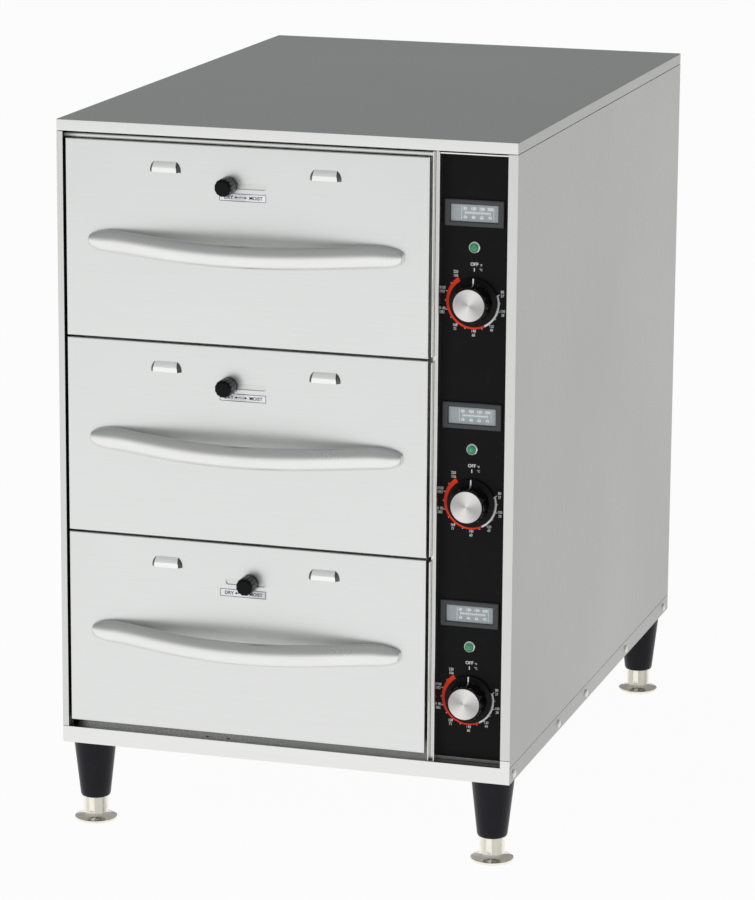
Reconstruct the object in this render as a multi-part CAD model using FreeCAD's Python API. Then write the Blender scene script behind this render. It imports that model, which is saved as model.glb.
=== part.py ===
"""Three-drawer food warmer with a side control strip, on four adjustable legs.

Millimetres. +Z is up, the drawers face -Y, and +X is to the right as seen from the front.
The origin is on the floor at the centre of the overall box.
"""
import FreeCAD
import Part

import math
import os

os.makedirs("parts", exist_ok=True)

Vector = FreeCAD.Vector

# ---------------------------------------------------------------- driving dimensions
# Cabinet shell
sheet = 1.0                      # outer and inner panels
frame_sheet = 1.5                # front frame, post, rails
top_flange = 12.0                # turned-down edge of the top cover
base_flange = 17.0               # turned-up edge of the base tray
panel_seam = 0.5                 # open line between neighbouring panels
joggle_overlap = 6.0             # how far a side panel's inner tab laps its outer sheet
left_flange = 6.5                # front return of the left side panel
right_flange = 10.0              # front return of the right side panel
flange_fold_depth = 14.0         # second fold of the front returns
rear_return = 8.0                # rear return of the side panels
corner_tab_height = 25.0         # front corner of the base tray below the control strip
ledge_hole_radius = 2.0
ledge_hole_places = (157.0, 180.0)   # from the cabinet's left edge

# Front frame and divider post
frame_setback = 22.0             # frame plane behind the cabinet's front plane
frame_rail_height = 16.0         # rails between drawers
header_bead_height = 5.7
header_bead_setback = 2.0
bead_seam = 0.8                  # open line above and below the header bead
panel_strip_height = 2.4         # strip that carries the bead on above the control panel
seam_tab_width = 8.0             # spacers between the header and the top cover's flange
seam_tab_spots = (0.05, 0.948, 1.093)   # along the header, as shares of its length to the post
post_width = 7.5
post_setback = 1.0
post_groove_depth = 7.0
post_notch_height = 5.0

# Cavity and insulation
cavity_back_setback = 26.0       # cavity back in front of the cabinet's rear plane
insulation_air = 0.3             # free space round each insulation blanket

# Control strip
panel_width = 70.4
panel_setback = 13.0
panel_thickness = 1.5
panel_return = 10.0
panel_top_drop = 16.0            # below the cabinet's top
panel_bottom_lift = 21.0         # above the cabinet's bottom
panel_edge_gap = 1.5             # open line beside the panel's right edge

# Drawers
drawer_count = 3
drawer_overlap = 9.0             # drawer front past the cavity's opening, on either side
drawer_left_gap = 2.8            # open line beside a drawer front, on either side
drawer_gap = 2.0                 # open line between drawer fronts
drawer_top_drop = 19.0           # first drawer's top below the cabinet's top
drawer_bottom_lift = 25.0        # last drawer's bottom above the cabinet's bottom
drawer_face_setback = 0.5
drawer_front_depth = 19.0
drawer_sheet = 1.2
drawer_edge_radius = 1.1
drawer_travel = 520.0

# Vents, shutter and its knob
vent_spacing = 170.0
vent_drop = 29.5                 # flat lower edge of the vent below the drawer's top
vent_width = 33.0
vent_top_width = 24.0
vent_height = 10.5
vent_reach = 4.5
vent_splay = 3.5                 # how far each end leans in over the reach
vent_end_bulge = 1.4             # outward bow of each end seen from the front
vent_wall = 0.8
slot_length = 44.0
slot_height = 6.0
slot_drop = 40.0
slot_offset = 0.5                # slot centre to the right of the drawer's centre
slot_end_clearance = 1.0
shutter_thickness = 1.0
shutter_height = 32.0
shutter_drop = 16.0              # shutter's top edge below the drawer's top
shutter_margin = 6.0             # steel left beyond a vent
shutter_lip = 3.0                # how far a guide laps the shutter
slide_clearance = 0.3            # flat running gap
vent_knob_radius = 9.3
vent_knob_length = 18.0
vent_knob_neck_radius = 6.0
vent_knob_neck_length = 2.5
vent_knob_flutes = 12
vent_knob_flute_radius = 1.1
vent_stud_radius = 2.5
vent_knob_rest_shift = (0.0, 0.0, 22.5)  # each knob's rest place from the left end of its travel

# Handle
handle_end_inset = 25.5          # from the drawer front's sides
handle_drop = 103.0
handle_reach = 40.0
handle_droop = 3.5               # middle below the ends
handle_height = 23.5
handle_end_height = 6.0
handle_thickness = 14.0
handle_end_thickness = 4.0
handle_end_length = 32.0         # over which each end rounds off
handle_sections = 16             # spans between lofted sections
handle_foot_length = 26.0        # end that lies on the drawer front
handle_screw_radius = 2.5
handle_screw_head_radius = 4.5
handle_screw_head_height = 3.0
handle_screw_grip = 5.0          # thread inside the handle
fastener_clearance = 0.05

# Drawer frame, rails and pan
pan_length = 530.0
pan_width = 325.0
pan_depth = 150.0
pan_rim_width = 12.0
pan_rim_thickness = 1.5
pan_sheet = 0.8
pan_taper = 9.0                  # inward lean of each wall over its height
pan_corner_radius = 45.0
pan_bottom_chamfer = 12.0
pan_drop = 30.0                  # pan rim below the drawer's top
pan_front_gap = 20.0             # pan rim behind the drawer front's rear edge
pan_side_gap = 1.5
arm_height = 50.0
arm_ledge = 11.0
cross_bar_height = 30.0
rail_drop = 42.0                 # cabinet rail's top below the drawer's top
rail_height = 36.0
rail_space = 18.5                # between an arm and the cavity's wall
rail_reach = 13.0                # channel depth of a cabinet rail
rail_engagement = 80.0           # rails still nested with the drawer fully out
rail_overrun = 40.0              # cabinet rail past a closed drawer's rail
rail_front_gap = 4.0             # rails behind the frame plane
rail_rear_gap = 24.0             # rails in front of the cavity back

# Heating elements
element_radius = 4.0
element_side_gap = 94.0          # between the element's centre line and the cavity's wall
element_air = 6.0                # between the pan's bottom and the element
element_floor = 10.0             # between the element and the drawer front's lower edge
element_front_gap = 90.0         # bend's outer end behind the frame plane
element_hole_clearance = 0.3
element_tail = 8.0               # element's end behind the cavity back
strap_width = 12.0
strap_thickness = 2.0
strap_gap = 0.1
strap_places = (150.0, 480.0)    # behind the frame plane

# Control pieces, down from each drawer's top
control_offset = -2.0            # their centre line from the panel's centre
thermometer_drop = 55.5
thermometer_width = 61.3
thermometer_height = 27.0
thermometer_reach = 3.0          # bezel in front of the control panel
thermometer_body_margin = 4.0
thermometer_body_depth = 32.0
window_width = 49.8
window_height = 18.0
window_thickness = 1.0
window_recess = 1.0
window_rebate = 2.5              # depth of the bezel's pocket
pilot_drop = 90.0
pilot_bezel_radius = 6.3
pilot_bezel_height = 2.0
pilot_body_radius = 4.9
pilot_body_depth = 22.0
pilot_lens_radius = 4.6
pilot_lens_height = 3.2
dial_drop = 145.5
knob_radius = 25.0
knob_top_radius = 20.5
knob_height = 20.0
knob_base_height = 4.0
knob_flutes = 18
knob_flute_radius = 3.2
knob_gap = 0.5                   # knob's base in front of the control panel
cap_radius = 16.5
cap_thickness = 1.2
cap_recess = 0.6
spindle_radius = 3.0
spindle_fit = 0.05
spindle_depth = 14.0             # spindle behind the control panel's face
bushing_radius = 5.0
bushing_reach = 5.0              # bushing in front of the panel
knob_bore_clearance = 0.5
thermostat_width = 40.0
thermostat_height = 34.0
thermostat_depth = 28.0

# Legs and feet
leg_side_inset = 25.0
leg_front_inset = 29.0
leg_back_inset = 38.0
leg_top_radius = 22.8
leg_bottom_radius = 15.9
leg_body_height = 65.0
leg_edge_radius = 3.0
leg_stud_radius = 6.0
leg_stud_length = 14.0
leg_nut_radius = 10.5
leg_nut_height = 8.0
foot_tube_radius = 13.0
foot_fit = 0.08
foot_tube_show = 17.5            # bare tube below the leg
foot_flare_height = 5.5
foot_rim_radius = 22.25
foot_rim_height = 3.0
foot_engagement = 14.0           # tube still in its socket with the foot fully down
foot_stop_gap = 0.3              # tube's top below the socket's end
foot_travel = 20.0
foot_key_width = 5.0
foot_key_height = 9.0
foot_key_depth = 0.8

# Fasteners, gland and terminals
side_screw_front_inset = 18.0
side_screw_rear_inset = 22.0
side_screw_spots = (0.0, 0.27, 0.447, 0.72, 1.0)   # along the run from the first to the last
side_screw_lift = 7.5
rear_screw_inset = 60.0          # from the cabinet's bottom and top
screw_head_radius = 4.5
screw_head_height = 2.0
screw_shank_radius = 1.75
screw_shank_length = 5.0
gland_lift = 60.0
gland_hole_radius = 8.0
gland_flange_radius = 13.0
gland_flange_height = 4.0
gland_nose_radius = 9.0
gland_nose_length = 12.0
gland_bore_radius = 4.5
gland_neck_length = 8.0
gland_nut_radius = 12.0
gland_nut_height = 5.0
rear_slot_width = 50.0
rear_slot_height = 4.0
rear_slot_pitch = 12.0
rear_slot_count = 10
rear_slot_lift = 420.0
terminal_length = 60.0
terminal_width = 24.0
terminal_height = 18.0
terminal_ways = 4

# ---------------------------------------------------------------- sizes and places worked out from them
cavity_half_width = pan_width / 2 + pan_side_gap + frame_sheet + rail_space
drawer_width = 2 * (cavity_half_width + drawer_overlap)
element_bend_radius = cavity_half_width - element_side_gap
element_drop = pan_drop + pan_depth + element_air + element_radius
drawer_height = element_drop + element_radius + element_floor
drawer_rail_length = drawer_travel + rail_engagement
cabinet_rail_length = drawer_rail_length + rail_overrun
cabinet_width = (left_flange + drawer_left_gap + drawer_width + drawer_left_gap + post_width
                 + panel_width + right_flange)
cabinet_depth = frame_setback + rail_front_gap + cabinet_rail_length + rail_rear_gap + cavity_back_setback
cabinet_height = (drawer_top_drop + drawer_count * drawer_height + (drawer_count - 1) * drawer_gap
                  + drawer_bottom_lift)
side_screw_run = cabinet_depth - side_screw_front_inset - side_screw_rear_inset
side_screw_places = [side_screw_front_inset + spot * side_screw_run for spot in side_screw_spots]
rear_screw_places = (rear_screw_inset, cabinet_height / 2, cabinet_height - rear_screw_inset)
foot_socket_depth = foot_travel + foot_engagement
leg_height = leg_body_height + foot_tube_show + foot_flare_height + foot_rim_height
base_z = leg_height
top_z = base_z + cabinet_height
left_x = -cabinet_width / 2
right_x = cabinet_width / 2
rear_reach = gland_flange_height + gland_nose_length
front_reach = handle_reach - drawer_face_setback
front_y = -(cabinet_depth + rear_reach - front_reach) / 2
back_y = front_y + cabinet_depth

drawer_left_x = left_x + left_flange + drawer_left_gap
drawer_x = drawer_left_x + drawer_width / 2
drawer_tops = [top_z - drawer_top_drop - i * (drawer_height + drawer_gap) for i in range(drawer_count)]
face_y = front_y + drawer_face_setback
frame_y = front_y + frame_setback
handle_length = drawer_width - 2 * handle_end_inset
handle_screw_offset = (handle_length - handle_foot_length) / 2

cavity_left_x = drawer_x - cavity_half_width
cavity_right_x = drawer_x + cavity_half_width
cavity_floor_z = base_z + base_flange
cavity_back_y = back_y - cavity_back_setback
ceiling_z = top_z - drawer_top_drop - sheet
panel_right_x = right_x - right_flange
post_left_x = drawer_left_x + drawer_width + drawer_left_gap
post_right_x = post_left_x + post_width
panel_left_x = post_right_x
panel_x = (panel_left_x + panel_right_x) / 2
control_x = panel_x + control_offset
panel_y = front_y + panel_setback
ledge_z = base_z + base_flange


# ---------------------------------------------------------------- helpers
def block(x0, x1, y0, y1, z0, z1):
    """A box between two corners."""
    return Part.makeBox(x1 - x0, y1 - y0, z1 - z0, Vector(x0, y0, z0))


def rod(radius, length, start, direction):
    """A cylinder from a point along a direction."""
    return Part.makeCylinder(radius, length, Vector(*start), Vector(*direction))


def fused(first, *others):
    """One solid from touching or overlapping pieces."""
    return first.fuse(list(others)).removeSplitter()


def group(solids):
    """Separate solids kept together in one node."""
    return Part.makeCompound(list(solids))


def turned(profile, centre, direction):
    """A solid of revolution: (radius, height) points about an axis from a centre along a direction."""
    points = [Vector(radius, 0, height) for radius, height in profile]
    face = Part.Face(Part.makePolygon(points + points[:1]))
    solid = face.revolve(Vector(0, 0, 0), Vector(0, 0, 1), 360)
    turn = FreeCAD.Rotation(Vector(0, 0, 1), Vector(*direction))
    solid.Placement = FreeCAD.Placement(Vector(*centre), turn)
    return solid


def rounded_rectangle(x, y, z, width, depth, radius):
    """A horizontal closed wire with four round corners."""
    dx = width / 2 - radius
    dy = depth / 2 - radius
    edges = []
    for turn, (sx, sy) in enumerate(((1, 1), (-1, 1), (-1, -1), (1, -1))):
        centre = Vector(x + sx * dx, y + sy * dy, z)
        start = turn * math.pi / 2
        arc = [centre + Vector(radius * math.cos(start + step), radius * math.sin(start + step), 0)
               for step in (0, math.pi / 4, math.pi / 2)]
        if edges:
            edges.append(Part.makeLine(edges[-1].lastVertex().Point, arc[0]))
        edges.append(Part.Arc(*arc).toShape())
    edges.append(Part.makeLine(edges[-1].lastVertex().Point, edges[0].firstVertex().Point))
    return Part.Wire(edges)


def export(name, shape):
    """Write one node."""
    shape.exportStep("parts/" + name + ".step")
    print(name, len(shape.Solids), round(shape.Volume))


# ---------------------------------------------------------------- cabinet shell
def top_cover():
    """Shallow inverted tray that caps the cabinet."""
    outer = block(left_x, right_x, front_y, back_y, top_z - top_flange, top_z)
    edges = [edge for edge in outer.Edges if abs(edge.BoundBox.ZMin - top_z) < 1e-6]
    outer = outer.makeFillet(sheet * 0.9, edges)
    inner = block(left_x + sheet, right_x - sheet, front_y + sheet, back_y - sheet,
                  top_z - top_flange, top_z - sheet)
    return outer.cut(inner)


def screw_holes(side):
    """Cutters for the screws along one side of the base, which is -1 or 1."""
    x = side * (cabinet_width / 2 - screw_shank_length)
    return [rod(screw_shank_radius + fastener_clearance, screw_shank_length,
                (x, front_y + place, base_z + side_screw_lift), (side, 0, 0))
            for place in side_screw_places]


def side_panel(side):
    """Outer side sheet with its tabs behind the top and base flanges and its front and rear returns."""
    flange = left_flange if side < 0 else right_flange
    lower_z = ledge_z + panel_seam
    upper_z = top_z - top_flange - panel_seam
    front_low_z = base_z + corner_tab_height + panel_seam if side > 0 else lower_z
    outer_x = cabinet_width / 2
    inner_x = outer_x - sheet
    tab_y0 = front_y + sheet + slide_clearance
    tab_y1 = back_y - 2 * sheet - slide_clearance
    pieces = [block(inner_x, outer_x, front_y, back_y, lower_z, upper_z)]
    pieces.append(block(inner_x - sheet, inner_x, tab_y0, tab_y1, upper_z - joggle_overlap, top_z - sheet))
    pieces.append(block(inner_x - sheet, inner_x, tab_y0, tab_y1, base_z + sheet, lower_z + joggle_overlap))
    pieces.append(block(outer_x - flange, inner_x, front_y, front_y + sheet, front_low_z, upper_z))
    pieces.append(block(outer_x - flange, outer_x - flange + sheet, front_y + sheet,
                        front_y + flange_fold_depth, front_low_z, upper_z))
    pieces.append(block(outer_x - rear_return, inner_x, back_y - 2 * sheet, back_y - sheet,
                        lower_z, upper_z))
    panel = fused(*pieces)
    if side > 0:
        corner = block(outer_x - right_flange, outer_x, front_y, front_y + sheet, lower_z, front_low_z)
        panel = panel.cut(corner)
    else:
        panel = panel.mirror(Vector(0, 0, 0), Vector(1, 0, 0))
    return panel.cut(screw_holes(side) + rear_screw_holes(side))


def rear_screw_holes(side):
    """Cutters for the screws down one edge of the rear panel."""
    x = side * (cabinet_width / 2 - rear_return / 2 - sheet / 2)
    return [rod(screw_shank_radius + fastener_clearance, screw_shank_length,
                (x, back_y - screw_shank_length, base_z + place), (0, 1, 0))
            for place in rear_screw_places]


def rear_panel():
    """Flat rear sheet with air slots behind the control strip and a hole for the cord gland."""
    panel = block(left_x + sheet, right_x - sheet, back_y - sheet, back_y,
                  ledge_z + panel_seam, top_z - top_flange - panel_seam)
    slots = [block(panel_x - rear_slot_width / 2, panel_x + rear_slot_width / 2, back_y - sheet, back_y,
                   base_z + rear_slot_lift + i * rear_slot_pitch,
                   base_z + rear_slot_lift + i * rear_slot_pitch + rear_slot_height)
             for i in range(rear_slot_count)]
    gland_hole = rod(gland_hole_radius, sheet, (panel_x, back_y - sheet, base_z + gland_lift), (0, 1, 0))
    return panel.cut(slots + [gland_hole] + rear_screw_holes(-1) + rear_screw_holes(1))


def leg_centres():
    """Leg axes by name."""
    x = cabinet_width / 2 - leg_side_inset
    front = front_y + leg_front_inset
    back = back_y - leg_back_inset
    return {"front_left": (-x, front), "front_right": (x, front),
            "rear_left": (-x, back), "rear_right": (x, back)}


def base_tray():
    """Bottom sheet with turned-up flanges, the front ledge and the raised front corner."""
    tray = block(left_x, right_x, front_y, back_y, base_z, ledge_z)
    hollow = block(left_x + sheet, right_x - sheet, front_y + sheet, back_y - sheet, base_z + sheet, ledge_z)
    ledge = block(left_x + left_flange, right_x - right_flange, front_y, frame_y, ledge_z - sheet, ledge_z)
    corner = block(right_x - right_flange, right_x, front_y, front_y + sheet,
                   ledge_z, base_z + corner_tab_height)
    tray = fused(tray.cut(hollow), ledge, corner)
    ledge_y = (front_y + frame_y) / 2
    holes = [rod(ledge_hole_radius, sheet, (left_x + place, ledge_y, ledge_z - sheet), (0, 0, 1))
             for place in ledge_hole_places]
    holes += [rod(leg_stud_radius + fastener_clearance, sheet, (x, y, base_z), (0, 0, 1))
              for x, y in leg_centres().values()]
    return tray.cut(holes + screw_holes(-1) + screw_holes(1))


def front_frame():
    """Welded ladder behind the drawer fronts, the bead above the first drawer and the panel's sill."""
    left = left_x + 2 * sheet
    depth = (frame_y, frame_y + frame_sheet)
    header_low = drawer_tops[0] - frame_rail_height / 2
    rail_low = ledge_z - sheet
    rail_high = drawer_tops[-1] - drawer_height + frame_rail_height / 2
    bars = [block(left, post_left_x, *depth, header_low, top_z - sheet),
            block(left, post_left_x, *depth, rail_low, rail_high),
            block(left, cavity_left_x, *depth, rail_high, header_low),
            block(cavity_right_x, post_left_x, *depth, rail_high, header_low)]
    for upper in drawer_tops[1:]:
        middle = upper + drawer_gap / 2
        bars.append(block(cavity_left_x, cavity_right_x, *depth,
                          middle - frame_rail_height / 2, middle + frame_rail_height / 2))
    bead_top = top_z - top_flange - bead_seam
    bead_y = front_y + header_bead_setback
    for x0, x1, height in ((left_x + left_flange, post_left_x, header_bead_height),
                           (post_right_x, panel_right_x, panel_strip_height)):
        bead = block(x0, x1, bead_y, frame_y, bead_top - height, bead_top)
        nose = [edge for edge in bead.Edges
                if edge.BoundBox.XLength > 1 and abs(edge.BoundBox.YMin - bead_y) < 1e-6]
        bars.append(bead.makeFillet(height * 0.45, nose))
    bars.append(block(post_right_x, panel_right_x, panel_y, panel_y + frame_sheet,
                      ledge_z, base_z + panel_bottom_lift - slide_clearance))
    header_run = post_left_x - left_x - left_flange
    for spot in seam_tab_spots:
        tab_x = left_x + left_flange + spot * header_run
        bars.append(block(tab_x - seam_tab_width / 2, tab_x + seam_tab_width / 2,
                          bead_y + header_bead_height / 2, frame_y, bead_top, bead_top + bead_seam))
    return group(bars)


def divider_post():
    """Upright channel between the drawers and the control strip, open to the front."""
    post = block(post_left_x, post_right_x, front_y + post_setback, frame_y,
                 ledge_z, top_z - top_flange - bead_seam)
    groove = block(post_left_x + frame_sheet, post_right_x - frame_sheet, front_y + post_setback,
                   front_y + post_setback + post_groove_depth, ledge_z, top_z)
    notch = block(post_left_x, post_left_x + frame_sheet, front_y + post_setback,
                  front_y + post_setback + post_groove_depth, -post_notch_height / 2, post_notch_height / 2)
    notches = [notch.translated(Vector(0, 0, upper + drawer_gap / 2)) for upper in drawer_tops[1:]]
    return post.cut([groove] + notches)


def zone_heights(drop):
    """Heights of one control piece in every zone."""
    return [upper - drop for upper in drawer_tops]


def control_panel():
    """Black panel with turned-back sides, cut for the thermometers, pilot lights and spindles."""
    low = base_z + panel_bottom_lift
    high = top_z - panel_top_drop
    rear = panel_y + panel_thickness
    right = panel_right_x - panel_edge_gap
    panel = fused(block(panel_left_x, right, panel_y, rear, low, high),
                  block(panel_left_x, panel_left_x + panel_thickness, rear, rear + panel_return, low, high),
                  block(right - panel_thickness, right, rear, rear + panel_return, low, high))
    cuts = []
    half_width = thermometer_width / 2 - thermometer_body_margin + slide_clearance
    half_height = thermometer_height / 2 - thermometer_body_margin + slide_clearance
    for z in zone_heights(thermometer_drop):
        cuts.append(block(control_x - half_width, control_x + half_width, panel_y, rear,
                          z - half_height, z + half_height))
    for z in zone_heights(pilot_drop):
        cuts.append(rod(pilot_body_radius + fastener_clearance, panel_thickness,
                        (control_x, panel_y, z), (0, 1, 0)))
    for z in zone_heights(dial_drop):
        cuts.append(rod(bushing_radius + fastener_clearance, panel_thickness,
                        (control_x, panel_y, z), (0, 1, 0)))
    return panel.cut(cuts)


# ---------------------------------------------------------------- cavity
def cavity_pieces():
    """Inner sheets round the drawers, and the blankets between them and the outer shell."""
    front = frame_y + frame_sheet
    element_holes = [rod(element_radius + element_hole_clearance, sheet,
                         (drawer_x + side * element_bend_radius, cavity_back_y, z), (0, 1, 0))
                     for z in zone_heights(element_drop) for side in (-1, 1)]
    low = cavity_floor_z + sheet
    export("cavity_floor", block(cavity_left_x - sheet, cavity_right_x + sheet, front, cavity_back_y + sheet,
                                 cavity_floor_z, low))
    export("cavity_wall_left", block(cavity_left_x - sheet, cavity_left_x, front, cavity_back_y,
                                     low, ceiling_z))
    export("cavity_wall_right", block(cavity_right_x, cavity_right_x + sheet, front, cavity_back_y,
                                      low, ceiling_z))
    export("cavity_ceiling", block(cavity_left_x - sheet, cavity_right_x + sheet, front,
                                   cavity_back_y + sheet, ceiling_z, ceiling_z + sheet))
    back = block(cavity_left_x - sheet, cavity_right_x + sheet, cavity_back_y, cavity_back_y + sheet,
                 low, ceiling_z)
    export("cavity_back", back.cut(element_holes))
    air = insulation_air
    rear_front = cavity_back_y + sheet + element_tail + air
    blankets = [block(left_x + 2 * sheet + air, cavity_left_x - sheet - air, front + air, cavity_back_y,
                      low, ceiling_z),
                block(cavity_left_x, cavity_right_x, front + air, cavity_back_y,
                      ceiling_z + sheet, top_z - sheet - air),
                block(cavity_right_x + sheet + air, post_left_x - air, front + air, cavity_back_y,
                      low, ceiling_z),
                block(cavity_left_x, cavity_right_x, rear_front, back_y - 2 * sheet - air,
                      low, ceiling_z)]
    export("insulation", group(blankets))


def heaters():
    """U-shaped tubular elements, each on two straps that span the cavity."""
    solids = []
    front = frame_y + element_front_gap + element_bend_radius
    rear = cavity_back_y + sheet + element_tail
    for z in zone_heights(element_drop):
        centre = Vector(drawer_x, front, z)
        legs = [rod(element_radius, rear - front,
                    (drawer_x + side * element_bend_radius, front, z), (0, 1, 0)) for side in (-1, 1)]
        bend = Part.makeTorus(element_bend_radius, element_radius, centre, Vector(0, 0, 1), -180, 180, 180)
        bend.rotate(centre, Vector(0, 0, 1), 180)
        solids.append(fused(bend, *legs))
        strap_top = z - element_radius - strap_gap
        for place in strap_places:
            solids.append(block(cavity_left_x, cavity_right_x,
                                frame_y + place, frame_y + place + strap_width,
                                strap_top - strap_thickness, strap_top))
    return group(solids)


def rail_span(upper):
    """Lowest and highest point of a drawer's cabinet rail."""
    return upper - rail_drop - rail_height, upper - rail_drop


def cabinet_rails():
    """Six channels on the cavity walls, open towards the drawers."""
    solids = []
    y0 = frame_y + rail_front_gap
    y1 = y0 + cabinet_rail_length
    for upper in drawer_tops:
        low, high = rail_span(upper)
        for side in (-1, 1):
            wall = cavity_half_width
            lips = wall - rail_reach
            span = [block(wall - frame_sheet, wall, y0, y1, low, high),
                    block(lips, wall, y0, y1, low, low + frame_sheet),
                    block(lips, wall, y0, y1, high - frame_sheet, high)]
            rail = fused(*span)
            if side < 0:
                rail = rail.mirror(Vector(0, 0, 0), Vector(1, 0, 0))
            solids.append(rail.translated(Vector(drawer_x, 0, 0)))
    return group(solids)


# ---------------------------------------------------------------- drawers
def hood_prism(x, low, inset):
    """A pressed hood's space: tapered from the front, rounded from the side, with splayed ends."""
    half_low = vent_width / 2 - inset
    half_high = vent_top_width / 2 - inset
    high = low + vent_height - inset
    reach = vent_reach - inset
    middle_x = (half_low + half_high) / 2 + vent_end_bulge
    middle_z = (low + high) / 2 + vent_end_bulge / 2
    outlines = []
    for lean, y in ((0, face_y), (vent_splay, face_y - vent_reach)):
        corners = [Vector(x - half_high + lean, y, high), Vector(x + half_high - lean, y, high),
                   Vector(x + half_low - lean, y, low), Vector(x - half_low + lean, y, low)]
        right = Part.Arc(corners[1], Vector(x + middle_x - lean, y, middle_z), corners[2]).toShape()
        left = Part.Arc(corners[3], Vector(x - middle_x + lean, y, middle_z), corners[0]).toShape()
        outlines.append(Part.Wire([Part.makeLine(corners[0], corners[1]), right,
                                   Part.makeLine(corners[2], corners[3]), left]))
    front = Part.makeLoft(outlines, True, True)
    edge = x - half_low - vent_end_bulge
    start = Vector(edge, face_y, high)
    middle = Vector(edge, face_y - reach * 0.8, (low + high) / 2 + reach * 0.4)
    end = Vector(edge, face_y - reach, low)
    slope = Part.Arc(start, middle, end).toShape()
    corner = Vector(edge, face_y, low)
    side = Part.Face(Part.Wire([slope, Part.makeLine(end, corner), Part.makeLine(corner, start)]))
    return front.common(side.extrude(Vector(2 * (half_low + vent_end_bulge), 0, 0)))


def vent_centres():
    """Where the two vents sit across a drawer."""
    return [drawer_x - vent_spacing / 2, drawer_x + vent_spacing / 2]


def drawer_front(upper):
    """Folded front with two hooded vents, the knob's slot and the guides of the shutter."""
    lower = upper - drawer_height
    x0 = drawer_left_x
    x1 = x0 + drawer_width
    rear = face_y + drawer_front_depth
    face_rear = face_y + drawer_sheet
    outer = block(x0, x1, face_y, rear, lower, upper)
    edges = [edge for edge in outer.Edges
             if abs(edge.BoundBox.YMin - face_y) < 1e-6 and edge.BoundBox.YLength < 1e-6]
    outer = outer.makeFillet(drawer_edge_radius, edges)
    hollow = block(x0 + drawer_sheet, x1 - drawer_sheet, face_rear, rear,
                   lower + drawer_sheet, upper - drawer_sheet)
    vent_low = upper - vent_drop
    hoods = [hood_prism(x, vent_low, 0) for x in vent_centres()]
    holes = [hood_prism(x, vent_low, vent_wall) for x in vent_centres()]
    holes += [hole.translated(Vector(0, drawer_sheet, 0)) for hole in holes]
    front = fused(outer.cut(hollow), *hoods).cut(holes)
    slot_z = upper - slot_drop
    slot_x = drawer_x + slot_offset
    straight = slot_length / 2 - slot_height / 2
    slot = fused(block(slot_x - straight, slot_x + straight, face_y, face_rear,
                       slot_z - slot_height / 2, slot_z + slot_height / 2),
                 rod(slot_height / 2, drawer_sheet, (slot_x - straight, face_y, slot_z), (0, 1, 0)),
                 rod(slot_height / 2, drawer_sheet, (slot_x + straight, face_y, slot_z), (0, 1, 0)))
    screws = [rod(handle_screw_radius + fastener_clearance, drawer_sheet,
                  (drawer_x + side * handle_screw_offset, face_y, upper - handle_drop), (0, 1, 0))
              for side in (-1, 1)]
    guide_y = face_rear + shutter_thickness + 2 * slide_clearance
    shutter_high = upper - shutter_drop
    shutter_low = shutter_high - shutter_height
    guides = []
    for edge, outward in ((shutter_high, 1), (shutter_low, -1)):
        near = edge + outward * slide_clearance
        far = near + outward * drawer_sheet
        lap = edge - outward * shutter_lip
        guides.append(block(x0 + drawer_sheet, x1 - drawer_sheet, face_rear, guide_y,
                            min(near, far), max(near, far)))
        guides.append(block(x0 + drawer_sheet, x1 - drawer_sheet, guide_y, guide_y + drawer_sheet,
                            min(lap, far), max(lap, far)))
    return fused(front.cut([slot] + screws), *guides)


def vent_left_end():
    """The vent knob's place at the left end of its travel, from the drawer's centre."""
    return slot_offset - (slot_length / 2 - vent_stud_radius - slot_end_clearance)


def vent_travel():
    """How far a vent knob slides."""
    return slot_length - 2 * vent_stud_radius - 2 * slot_end_clearance


def vent_shutter(upper, shift):
    """Sliding strip behind the vents: open with the knob at the left, closed at the right."""
    y0 = face_y + drawer_sheet + slide_clearance
    y1 = y0 + shutter_thickness
    high = upper - shutter_drop
    low = high - shutter_height
    knob_x = drawer_x + vent_left_end()
    left = drawer_x - vent_spacing / 2 - vent_width / 2 - vent_travel() - shutter_margin
    right = drawer_x + vent_spacing / 2 + vent_width / 2 + shutter_margin
    strip = block(left, right, y0, y1, low, high)
    vent_low = upper - vent_drop
    windows = [block(x - vent_width / 2, x + vent_width / 2, y0, y1, vent_low, vent_low + vent_height)
               for x in vent_centres()]
    stud_hole = rod(vent_stud_radius, shutter_thickness, (knob_x, y0, upper - slot_drop), (0, 1, 0))
    return strip.cut(windows + [stud_hole]).translated(Vector(shift, 0, 0))


def vent_knob(upper, shift):
    """Fluted round knob with a stud that passes the slot and holds the shutter."""
    x = drawer_x + vent_left_end() + shift
    z = upper - slot_drop
    base = face_y - slide_clearance
    neck = vent_knob_neck_length
    length = vent_knob_length
    radius = vent_knob_radius
    stud = drawer_sheet + 2 * slide_clearance + shutter_thickness
    profile = [(0, -stud), (vent_stud_radius, -stud), (vent_stud_radius, 0), (vent_knob_neck_radius, 0),
               (vent_knob_neck_radius, neck), (radius - 1, neck), (radius, neck + 1), (radius, length - 2),
               (radius - 2, length), (0, length)]
    knob = turned(profile, (x, base, z), (0, -1, 0))
    flutes = []
    for i in range(vent_knob_flutes):
        angle = 2 * math.pi * (i + 0.5) / vent_knob_flutes
        flutes.append(rod(vent_knob_flute_radius, length, (x + radius * math.cos(angle), base - neck,
                                                           z + radius * math.sin(angle)), (0, -1, 0)))
    return knob.cut(flutes)


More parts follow.
